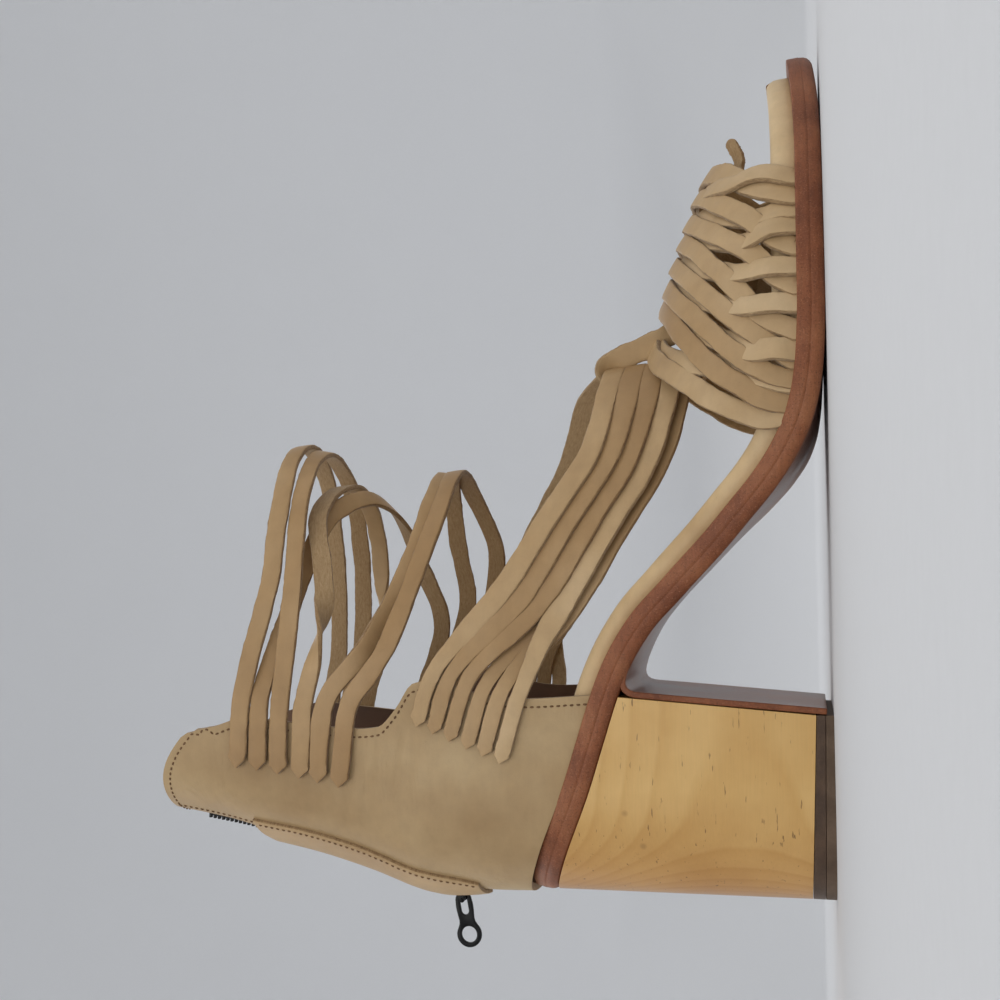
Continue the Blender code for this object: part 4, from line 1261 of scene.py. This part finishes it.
def add_instep_straps():
    for number, places in enumerate(BUNDLE, 1):
        route = softened(through(instep_route(number, *places), STATIONS), 12)
        line = route[:, :3]
        out = outward(line)
        line = line - out * route[:, 4:5]
        sway = ((0.0, 0.0), (0.12, 0.0), (0.3, 2.5 - 0.9 * number), (0.5, 0.0), (0.88, 0.0), (1.0, 0.0))
        out = twisted(line, out, along_table(INSTEP_TURN, STATIONS) + along_table(sway, STATIONS))
        line, out, width = fine_ends(line, out, route[:, 3:4])
        band(f"instep_band_{number}", f"instep_strap_{number}", line, out,
             pointed(line, width[:, 0] / 2, INSTEP_POINT), INSTEP_TONE[number - 1], seed=20 + number)


# ---- vamp loop and the front strap's cut end ----
ACROSS = (0.0, 1.0, 0.0)
LOOP_Y = -0.4
# The loop's route: between weave and bundle it turns its grain side to the lateral side, then it lies on the bundle.
LOOP_ROUTE = ((56.0, 38.2), (51.6, 38.2), (47.2, 40.0), (44.0, 44.2), (41.8, 49.2), (39.8, 54.6), (38.2, 58.8),
              (36.0, 61.2), (33.4, 60.8), (31.8, 57.4), (31.0, 50.0), (31.0, 40.0), (33.8, 32.6), (40.6, 30.2),
              (48.0, 32.0), (55.0, 36.2))
LOOP_SHIFT = ((0.0, 0.0), (0.08, -1.5), (0.16, -2.8), (0.28, -2.8), (0.38, -1.0), (0.5, 0.0), (1.0, 0.0))
LOOP_HALF = ((0.0, 2.7), (0.1, 3.2), (0.3, 3.3), (0.45, 2.8), (1.0, 2.7))
LOOP_TWIST = ((0.0, 0.0), (0.06, 36.0), (0.12, 78.0), (0.29, 76.0), (0.36, 48.0), (0.43, 12.0), (0.5, 0.0), (1.0, 0.0))


def add_vamp_loop():
    line = softened(through([(x, LOOP_Y, z) for x, z in LOOP_ROUTE], STATIONS), 6)
    line[:, 1] += along_table(LOOP_SHIFT, STATIONS)
    out = twisted(line, outward(line, ACROSS), along_table(LOOP_TWIST, STATIONS))
    band("vamp_loop_band", "vamp_loop", line, out, along_table(LOOP_HALF, STATIONS), 0.97, seed=40, thick=THIN_BAND_T)


TIP_HALF = 1.7               # half width of the cut end, which is round
# The cut end's own line: it stands up a little over the front band.
TIP = ((87.0, -5.4, 23.0), (90.0, -5.2, 21.9), (93.0, -5.0, 21.8), (96.2, -4.8, 22.9), (99.3, -4.6, 24.5))
TIP_TWIST = ((0.0, 0.0), (0.3, 40.0), (1.0, 74.0))
TIP_STATIONS = 90


def add_strap_end():
    line = softened(through(TIP, TIP_STATIONS), 4)
    out = twisted(line, -outward(line, ACROSS), along_table(TIP_TWIST, TIP_STATIONS))
    run = travel(line)
    from_end = np.clip((run[-1] - run) / TIP_HALF, 0.0, 1.0)
    half = TIP_HALF * np.sqrt(np.clip(1.0 - (1.0 - from_end) ** 2, 0.04, 1.0))
    band("toe_strap_tip", "toe_strap_end", line, out, half, 0.78, seed=41, thick=THIN_BAND_T)


# ---- woven vamp ----
WEAVE_W = (6.6, 5.7, 5.5, 5.4, 5.2, 5.2, 5.6, 5.8)
# Share by which each strap is wider on the medial side, and the mirrored ones on the lateral side.
WEAVE_WIDER = (0.6, 0.5, 0.5, 0.48, 0.42, 0.36, 0.25, 0.2)
MIRRORED_WIDER = 0.08
MEDIAL_FROM, MEDIAL_OVER = 92.0, 24.0    # angles over which the straps turn to their medial widths
WEAVE_T = 1.5
WEAVE_DEPTH = 1.15           # of the weave's middle under the vamp's outer face
WEAVE_STEP = 0.78            # how far a strap lies over or under that middle where it crosses another
# Way of each strap by angle over the foot, in degrees from the lateral foot. The other family mirrors it.
WEAVE = (
    ((0, 0.14), (12, 0.145), (22, 0.14), (35, 0.11), (50, 0.075), (70, 0.055), (90, 0.05), (110, 0.055), (130, 0.075),
     (145, 0.11), (158, 0.14), (180, 0.14)),
    ((0, 0.36), (7, 0.355), (16, 0.33), (22, 0.31), (35, 0.28), (60, 0.225), (90, 0.19), (120, 0.18), (142, 0.155),
     (155, 0.09), (166, 0.06), (180, 0.05)),
    ((0, 0.505), (7, 0.50), (14, 0.47), (20, 0.445), (38, 0.42), (60, 0.39), (90, 0.345), (120, 0.33), (150, 0.31),
     (163, 0.27), (172, 0.22), (180, 0.20)),
    ((0, 0.65), (9, 0.66), (18, 0.645), (24, 0.615), (30, 0.585), (40, 0.555), (54, 0.51), (90, 0.47), (125, 0.45),
     (152, 0.42), (160, 0.38), (168, 0.32), (180, 0.27)),
    ((0, 0.76), (6, 0.75), (18, 0.735), (26, 0.72), (38, 0.685), (60, 0.64), (90, 0.61), (125, 0.585), (150, 0.55),
     (157, 0.53), (167, 0.48), (180, 0.43)),
    ((0, 0.83), (8, 0.85), (19, 0.855), (30, 0.835), (43, 0.80), (60, 0.775), (90, 0.755), (120, 0.735), (150, 0.68),
     (159, 0.655), (168, 0.605), (180, 0.56)),
    ((0, 0.92), (14, 0.955), (28, 0.955), (38, 0.94), (50, 0.91), (65, 0.88), (90, 0.865), (120, 0.85), (150, 0.83),
     (163, 0.805), (172, 0.755), (180, 0.72)),
    ((0, 0.96), (6, 1.005), (22, 1.055), (36, 1.08), (48, 1.09), (62, 1.12), (80, 1.165), (90, 1.16), (110, 1.10),
     (130, 1.01), (150, 0.93), (165, 0.88), (180, 0.84)),
)
WEAVE_TONE = {
    "a": (0.93, 0.93, 0.91, 0.88, 0.86, 0.82, 0.77, 0.94),
    "b": (1.0, 0.97, 0.98, 0.98, 1.01, 1.02, 0.98, 1.0),
}
WEAVE_SAMPLES = 110
WEAVE_FOOT = 2.0             # how deep the ends reach into the sole
WEAVE_TILT = 0.25            # rear edges stand out a little, like tiles
# The front band lies under the straps next to it on both sides and comes up over the toes.
FRONT_MEETS = 38
FRONT_LEVELS = ((-1, -0.6), (20, -0.9), (FRONT_MEETS, -1.0), (90, 0.3), (180 - FRONT_MEETS, -1.0), (160, -0.9),
                (181, -0.6))


def weave_way(strap, mirrored, angle):
    """Way of a strap at an angle; mirrored straps read the table from the other foot."""
    return smooth(WEAVE[strap], 180 - angle if mirrored else angle, 1)


def crossings():
    """Where each strap of one family meets each of the other, as (first, second, angle)."""
    angles = np.linspace(0, 180, 361)
    found = []
    for first in range(1, len(WEAVE)):
        own = np.array([weave_way(first, False, a) for a in angles])
        for second in range(1, len(WEAVE)):
            other = np.array([weave_way(second, True, a) for a in angles])
            for k in np.nonzero(np.diff(np.sign(own - other)))[0]:
                found.append((first, second, angles[k] + 0.25))
    return found


def lies_over(first, second, angle):
    """True where the plain strap lies over the mirrored one."""
    if angle <= 93:
        return not (second == first + 2 and angle < 60)
    return first == second + 2 and angle > 120


def weave_levels(strap, mirrored, met, angles):
    """Height of a strap over the weave's middle, in steps, by angle."""
    table = FRONT_LEVELS
    if strap:
        stops = [(FRONT_MEETS if mirrored else 180 - FRONT_MEETS, 1.0)] if strap == 1 else []
        stops += [(angle, 1.0 if lies_over(first, second, angle) != mirrored else -1.0)
                  for first, second, angle in met if strap == (second if mirrored else first)]
        stops.sort()
        first_level, last_level = (min(0.0, 0.4 * level) - 0.6 for _, level in (stops[0], stops[-1]))
        table = [(-1.0, first_level), *stops, (181.0, last_level)]
    return np.array([smooth(table, a, 1) for a in angles])


def weave_place(way, angle, level):
    """Middle of a strap at a place on the vamp, and the direction of its grain side."""
    turn = math.radians(min(max(angle, 0.6), 179.4))
    here = vamp_point(way, turn)
    back = vamp_point(way + 0.02, turn) - vamp_point(way - 0.02, turn)
    over = vamp_point(way, turn + 0.01) - vamp_point(way, turn - 0.01)
    normal = unit(np.cross(back, over))
    if normal @ (here - np.array((here[0], 0.0, 8.0))) < 0:
        normal = -normal
    return here + normal * (level * WEAVE_STEP - WEAVE_DEPTH), unit(normal - WEAVE_TILT * unit(back))


def add_weave():
    met = crossings()
    foot = np.array((0.0, 0.0, WEAVE_FOOT))
    degrees = np.linspace(0, 180, 181)
    for mirrored, family in ((False, "a"), (True, "b")):
        for strap in range(1 if mirrored else 0, len(WEAVE)):
            # Even steps along the strap, not in angle.
            dense = [[*vamp_point(weave_way(strap, mirrored, a), math.radians(a)), a] for a in degrees]
            angles = evenly(np.array(dense), WEAVE_SAMPLES)[:, 3]
            levels = weave_levels(strap, mirrored, met, angles)
            places = [weave_place(weave_way(strap, mirrored, a), a, level) for a, level in zip(angles, levels)]
            line, out = (softened(np.array(values), 3) for values in zip(*places))
            line = np.vstack([line[0] - foot, line, line[-1] - foot])
            out = np.vstack([out[0], out, out[-1]])
            medial = np.clip((np.concatenate([[0.0], angles, [180.0]]) - MEDIAL_FROM) / MEDIAL_OVER, 0.0, 1.0)
            half = WEAVE_W[strap] / 2 * (1.0 + WEAVE_WIDER[strap] * medial)
            if mirrored:
                half = half * (1.0 + MIRRORED_WIDER * (1.0 - medial))
            band(f"vamp_strap_{family}{strap}", "vamp", line, out, half, WEAVE_TONE[family][strap],
                 seed=60 + strap + 10 * mirrored, thick=WEAVE_T)


# ---- zip ----
# Strips along the gap's edges: near and far edge from the gap, depth, thickness, lower and upper end.
TAPE = (-0.9, 7.0, QUARTER_T + GAP + 0.4, 0.7, SLIT_Z + 1.5, 181.0)
TEETH = (-2.1, -0.6, 0.3, 1.8, SLIT_Z + 6.5, 181.5)
TOOTH_PITCH = 1.35
TOOTH_BEVEL = 0.12
TEETH_PROUD = ((150.0, 0.3), (160.0, -0.4), (182.0, -0.7))   # how deep the teeth lie, by height
# The flap sewn on beside the zip: height, far edge from the middle.
FLAP = (
    (93.4, 17.6),
    (98.0, 19.0),
    (108.0, 20.6),
    (125.0, 21.2),
    (158.0, 21.4),
)
# How far its edge along the zip stands off the cup, by height.
FLAP_STAND = ((93.4, 0.5), (97.0, 1.2), (104.0, 1.8), (110.0, 1.6), (125.0, 1.3), (158.0, 1.0))
FLAP_T = 1.3
FLAP_TONE = 0.9
FLAP_SUNK = -0.4             # its inner face under the cup's outer face
FLAP_NEAR = 0.4              # its near edge from the gap
FLAP_CUT = 2.4               # how much lower its near corner is at the top
ZIP_TOP = 182.4
# Stitch rows: the flap's and the one above it by their inset from its far edge, the medial one from the gap.
FLAP_STITCH, UPPER_STITCH, MEDIAL_STITCH = 0.9, 1.9, 2.6


def gap_point(side, y, z):
    """Point of the cup's surface that lies y beside the middle, at a height."""
    return np.array(cup_point(cup_turn_at(side * y, z), z))


def zip_strip(side, near, far, depth, low, high, across=7, steps=50):
    """Grid of a strip along one edge of the gap."""
    return [[gap_point(side, slit_half(z) + near + (far - near) * share, z) + (depth, 0.0, 0.0)
             for share in np.linspace(0, 1, across)] for z in np.linspace(low, high, steps)]


def beside_zip(side, y, z, out=0.0):
    """Point of the cup's round back that lies y from the middle, moved outwards, and its outward direction."""
    point = gap_point(side, y, z)
    way = cup_normal(*point)
    return point + way * (out - crease_depth(*point)), way


def flap_stand(z, share):
    """How far the flap stands off the cup: it is sewn down at its far edge, where share is 1."""
    return smooth(FLAP_STAND, z, 1) * (1.0 - share) ** 0.7


def add_flap():
    low, high = FLAP[0][0], FLAP[-1][0]
    rows = []
    for along in np.linspace(0.0, 1.0, 90):
        row = []
        for share in np.linspace(0.0, 1.0, 21):
            z = low + (high - FLAP_CUT * (1 - share) - low) * along
            near = slit_half(z) + FLAP_NEAR
            y = near + (smooth(FLAP, z, 1) - near) * share
            row.append(beside_zip(-1, y, z, FLAP_SUNK + flap_stand(z, share))[0])
        rows.append(row)
    sheet("zip_cover_flap", rows, FLAP_T, 1.0, ("strap", "flesh", "cut"), "upper_leather", "zip_guard", tone=FLAP_TONE)
    face = FLAP_T + FLAP_SUNK
    for name, side, beside, out, first, last, count in (
            ("flap_stitches", -1, lambda z: smooth(FLAP, z, 1) - FLAP_STITCH, lambda z: face + flap_stand(z, 0.95),
             low + 0.8, high - 0.9, 120),
            ("zip_stitches_top", -1, lambda z: smooth(FLAP, high, 1) - UPPER_STITCH, lambda z: 0.0, high + 0.6,
             ZIP_TOP, 30),
            ("zip_stitches_medial", 1, lambda z: slit_half(z) + MEDIAL_STITCH, lambda z: 0.0, SLIT_Z - 1.0,
             ZIP_TOP, 160)):
        line = [beside_zip(side, beside(z), z, out(z)) for z in np.linspace(first, last, count)]
        stitch_row(name, *zip(*line))


def add_zip():
    for side, label in ((-1, "lateral"), (1, "medial")):
        near, far, depth, thick, low, high = TAPE
        sheet(f"zip_band_{label}", zip_strip(side, near, far, depth, low, high), thick, side * 1.0,
              ("cloth",) * 3, "zip_black", f"zip_tape_{label}", bevel=0.0)
        near, far, _, thick, low, high = TEETH
        bm = bmesh.new()
        for z in np.arange(low + 0.4, high - 0.3, TOOTH_PITCH):
            if side > 0:
                z += TOOTH_PITCH / 2
            if z <= high - 0.3:
                x, y, z = gap_point(side, slit_half(z) + (near + far) / 2, z)
                add_tooth(bm, Vector((x + smooth(TEETH_PROUD, z, 1) + thick / 2, y, z)), side, far - near, thick)
        piece(f"zip_tooth_row_{label}", bm, ("enamel",), "zip_black", f"zip_teeth_{label}")


def add_tooth(bm, centre, side, width, thick):
    """One tooth: a clamp round the tape's edge and a narrower nib towards the other row."""
    high = TOOTH_PITCH * 0.58
    for offset, size in ((side * 0.2, (thick, width * 0.72, high)),
                         (-side * width * 0.42, (thick * 0.55, width * 0.5, high * 0.7))):
        verts = bmesh.ops.create_cube(bm, size=1.0)["verts"]
        bmesh.ops.scale(bm, vec=size, verts=verts)
        bmesh.ops.translate(bm, vec=centre + Vector((0.0, offset, 0.0)), verts=verts)
        rims = list({e for v in verts for e in v.link_edges})
        bmesh.ops.bevel(bm, geom=rims, offset=TOOTH_BEVEL, segments=1, affect="EDGES")


# ---- slider and pull tab ----
HINGE = (-113.7, 102.8)      # x, z of the bar that the tab hangs on
TAB_LENGTH = 13.6
TAB_T = 1.1
TAB_DROOP = 11.0             # degrees below level
RING_R = 3.6
RING_HOLE = 2.25
SLIDER_Z = 104.0
EAR_Y = 1.45
BAR_R = 0.45
# Half of the shield's outline and half of the tab's neck, from the front to the rear.
SHIELD = ((0.0, 3.6), (1.2, 4.3), (2.3, 4.0), (2.5, 3.2), (2.5, 0.2), (1.9, -3.2), (1.3, -4.0))
NECK = [(-2.0, 2.5), (-3.4, 2.45), (-4.8, 2.3), (-5.8, 2.2), (-6.8, 2.35), (-7.7, 2.8)]
# Rings of a rod's rounded end, from its tip inwards: place, share of the radius.
ROD_END = ((0.0, 0.55), (0.15, 0.9), (0.4, 1.0))


def arc(centre, radius, count, start, turn):
    """Points on a circle whose middle lies at (centre, 0); a full turn leaves out its last point."""
    steps = count if turn == 360.0 else count + 1
    angles = [math.radians(start + turn * k / count) for k in range(steps)]
    return [(centre + radius * math.cos(a), radius * math.sin(a)) for a in angles]


def plate(bm, outlines, thick, rounding, matrix):
    """Adds a flat plate with rounded edges; outlines are its edge and its holes, matrix places it."""
    curve = bpy.data.curves.new("plate_outline", "CURVE")
    curve.dimensions = "2D"
    curve.fill_mode = "BOTH"
    curve.extrude = thick / 2 - rounding
    curve.bevel_depth = rounding
    curve.bevel_resolution = 2
    curve.offset = -rounding
    for points in outlines:
        spline = curve.splines.new("POLY")
        spline.points.add(len(points) - 1)
        spline.use_cyclic_u = True
        for target, (u, v) in zip(spline.points, points):
            target.co = (u, v, 0.0, 1.0)
    flat = bpy.data.objects.new("plate_outline", curve)
    bpy.context.scene.collection.objects.link(flat)
    bpy.context.view_layer.update()
    mesh = bpy.data.meshes.new_from_object(flat.evaluated_get(bpy.context.evaluated_depsgraph_get()))
    bpy.data.objects.remove(flat, do_unlink=True)
    bpy.data.curves.remove(curve)
    mesh.transform(matrix)
    bm.from_mesh(mesh)
    bpy.data.meshes.remove(mesh)
    bmesh.ops.remove_doubles(bm, verts=bm.verts, dist=1e-4)


def rod(bm, start, end, radius, sides=14):
    """Adds a round rod with rounded ends."""
    way = (end - start).normalized()
    across = way.orthogonal().normalized()
    over = way.cross(across)
    stations = [(start + way * at, size) for at, size in ROD_END]
    stations += [(end - way * at, size) for at, size in ROD_END[::-1]]
    rings = [[bm.verts.new(middle + (across * math.cos(a) + over * math.sin(a)) * radius * size)
              for a in circle(sides)] for middle, size in stations]
    skin(bm, rings, closed=True)
    bm.faces.new(rings[0][::-1])
    bm.faces.new(rings[-1])


def upright(x, y, z, droop=0.0):
    """Placing of a plate that stands in the plane of the shoe's length."""
    return (Matrix.Translation((x, y, z)) @ Matrix.Rotation(-math.radians(droop), 4, "Y")
            @ Matrix.Rotation(math.radians(90.0), 4, "X"))


def add_slider():
    hinge_x, hinge_z = HINGE
    back = smooth(CUP, SLIDER_Z, 1) - GAP
    shield = [(-u, v) for u, v in SHIELD[:0:-1]] + list(SHIELD)
    facing = Matrix.Rotation(math.radians(90.0), 4, "Z") @ Matrix.Rotation(math.radians(90.0), 4, "X")
    bm = bmesh.new()
    # Two wings, the outer one a shield that narrows downwards, and the core between them.
    for wide, high, thick, rounding, depth in ((1.0, 1.0, 0.8, 0.18, -0.85), (0.86, 0.9, 0.6, 0.14, 0.5),
                                               (0.4, 0.86, 1.0, 0.1, -0.2)):
        plate(bm, [[(wide * u, high * v) for u, v in shield]], thick, rounding,
              Matrix.Translation((back + depth, 0.0, SLIDER_Z)) @ facing)
    root = back - 1.6 - hinge_x
    for side in (-1, 1):
        ear = arc(0.0, 0.85, 10, 90.0, 180.0) + [(root, -1.5), (root, 1.5)]
        plate(bm, [ear], 0.8, 0.16, upright(hinge_x, side * EAR_Y, hinge_z))
    half = Vector((0.0, EAR_Y + 0.55, 0.0))
    middle = Vector((hinge_x, 0.0, hinge_z))
    rod(bm, middle - half, middle + half, BAR_R)
    piece("zip_slider_body", bm, ("enamel",), "zip_metal", "zip_slider", sharp=50.0)


def add_pull():
    ring_x = RING_R - TAB_LENGTH
    edge = [*arc(-0.4, 2.35, 12, -80.0, 160.0), *NECK, *arc(ring_x, RING_R, 30, 52.0, 256.0),
            *((u, -v) for u, v in NECK[::-1])]
    slot = arc(-0.2, 1.1, 12, -90.0, 180.0) + arc(-3.4, 1.1, 12, 90.0, 180.0)
    bm = bmesh.new()
    plate(bm, [edge, slot, arc(ring_x, RING_HOLE, 30, 0.0, 360.0)], TAB_T, 0.3,
          upright(HINGE[0], 0.0, HINGE[1], TAB_DROOP))
    piece("zip_pull_tab", bm, ("enamel",), "zip_metal", "zip_pull", sharp=50.0, body="zip_pull")


# ---- stage, light and camera; places in metres, except the camera's own ----
CAMERA_PLACE = (-29.6, -343.0, 4.5)
CAMERA_AIM = (0.0, 0.0, 92.0)
CAMERA_LENS = 44.0
FLOOR_FLAT = 0.9             # radius of the flat floor
FLOOR_BEND = 0.5
FLOOR_HIGH = 1.6
FLOOR_SIDES = 96
LAMP_AIM = (0.0, 0.0, 0.08)
WARM = (1.0, 0.985, 0.965)
PLAIN = (1.0, 1.0, 1.0)
# The low front lamp is shaded towards its sides, so that the floor beside it stays even.
LAMPS = (
    # name, place, size, power, colour, spread in degrees
    ("key", (-0.25, -0.85, 0.75), 0.7, 2.6, WARM, 180.0),
    ("front_fill", (0.05, -1.1, 0.22), 0.8, 1.27, WARM, 150.0),
    ("toe_fill", (0.85, -0.35, 0.6), 0.6, 1.6, PLAIN, 180.0),
    ("far_fill", (0.1, 0.85, 0.7), 0.8, 2.6, PLAIN, 180.0),
    ("heel_fill", (-0.9, 0.2, 0.55), 0.6, 1.6, PLAIN, 180.0),
)


def add_stage():
    """Pale floor that curves up into a backdrop all round, seen from any side."""
    paper = Finish("paper", 0.85, specular=0.2)
    fibre = paper.noise(2.2, 5.0, 0.7)
    paper.colour(paper.mix(paper.span(paper.axis("Z"), 0.0, 260.0), (212, 213, 215), (235, 236, 238)))
    paper.shade(0.5, paper.noise(130.0, 3.0), (0.3, 0.985), (0.7, 1.0))
    paper.shade(0.3, fibre, (0.3, 0.93), (0.7, 1.0))
    paper.bump(fibre, 0.04)
    profile = [(FLOOR_FLAT * 0.5, 0.0), (FLOOR_FLAT, 0.0)]
    profile += [(FLOOR_FLAT + FLOOR_BEND * math.sin(a), FLOOR_BEND * (1 - math.cos(a)))
                for a in np.linspace(0.1, math.pi / 2, 14)]
    profile.append((FLOOR_FLAT + FLOOR_BEND, FLOOR_HIGH))
    bm = bmesh.new()
    middle = bm.verts.new((0, 0, 0))
    rings = [[bm.verts.new((r * math.cos(a), r * math.sin(a), z)) for a in circle(FLOOR_SIDES)] for r, z in profile]
    for k, vert in enumerate(rings[0]):
        bm.faces.new((middle, vert, rings[0][(k + 1) % FLOOR_SIDES]))
    skin(bm, [ring[::-1] for ring in rings], closed=True)
    mesh = bpy.data.meshes.new("floor")
    bm.to_mesh(mesh)
    bm.free()
    mesh.materials.append(paper.material)
    mesh.shade_smooth()
    link("floor", mesh)


def add_world():
    world = bpy.data.worlds.new("studio")
    bpy.context.scene.world = world
    world.use_nodes = True
    back = world.node_tree.nodes["Background"]
    back.inputs["Color"].default_value = (0.965, 0.98, 1.0, 1.0)
    back.inputs["Strength"].default_value = 0.5


def add_lamps():
    for name, place_at, size, power, tint, spread in LAMPS:
        data = bpy.data.lights.new(name, "AREA")
        data.shape = "DISK"
        data.size = size
        data.energy = power
        data.spread = math.radians(spread)
        data.color = tint
        lamp = link(name, data)
        lamp.location = place_at
        lamp.rotation_mode = "QUATERNION"
        lamp.rotation_quaternion = (Vector(place_at) - Vector(LAMP_AIM)).to_track_quat("Z", "Y")
        lamp.visible_camera = False


def add_camera():
    data = bpy.data.cameras.new("camera")
    data.lens = CAMERA_LENS
    data.sensor_width = 36.0
    data.clip_start = 0.01
    data.clip_end = 20.0
    camera = link("camera", data)
    camera.location = [c * MM for c in CAMERA_PLACE]
    back = (Vector(CAMERA_PLACE) - Vector(CAMERA_AIM)).normalized()
    # The picture's upper edge points to the toe.
    up = (Vector((1.0, 0.0, 0.0)) - back * back.x).normalized()
    camera.rotation_mode = "QUATERNION"
    camera.rotation_quaternion = Matrix((up.cross(back), up, back)).transposed().to_quaternion()
    bpy.context.scene.camera = camera


def main():
    bpy.context.scene.view_settings.view_transform = "Standard"
    for add in (add_sole, add_heel, add_breast_cover, add_quarter, add_cup_stitches, add_ankle_straps,
                add_instep_straps, add_vamp_loop, add_strap_end, add_weave, add_zip, add_flap, add_slider, add_pull,
                add_stage, add_world, add_lamps, add_camera):
        add()


main()
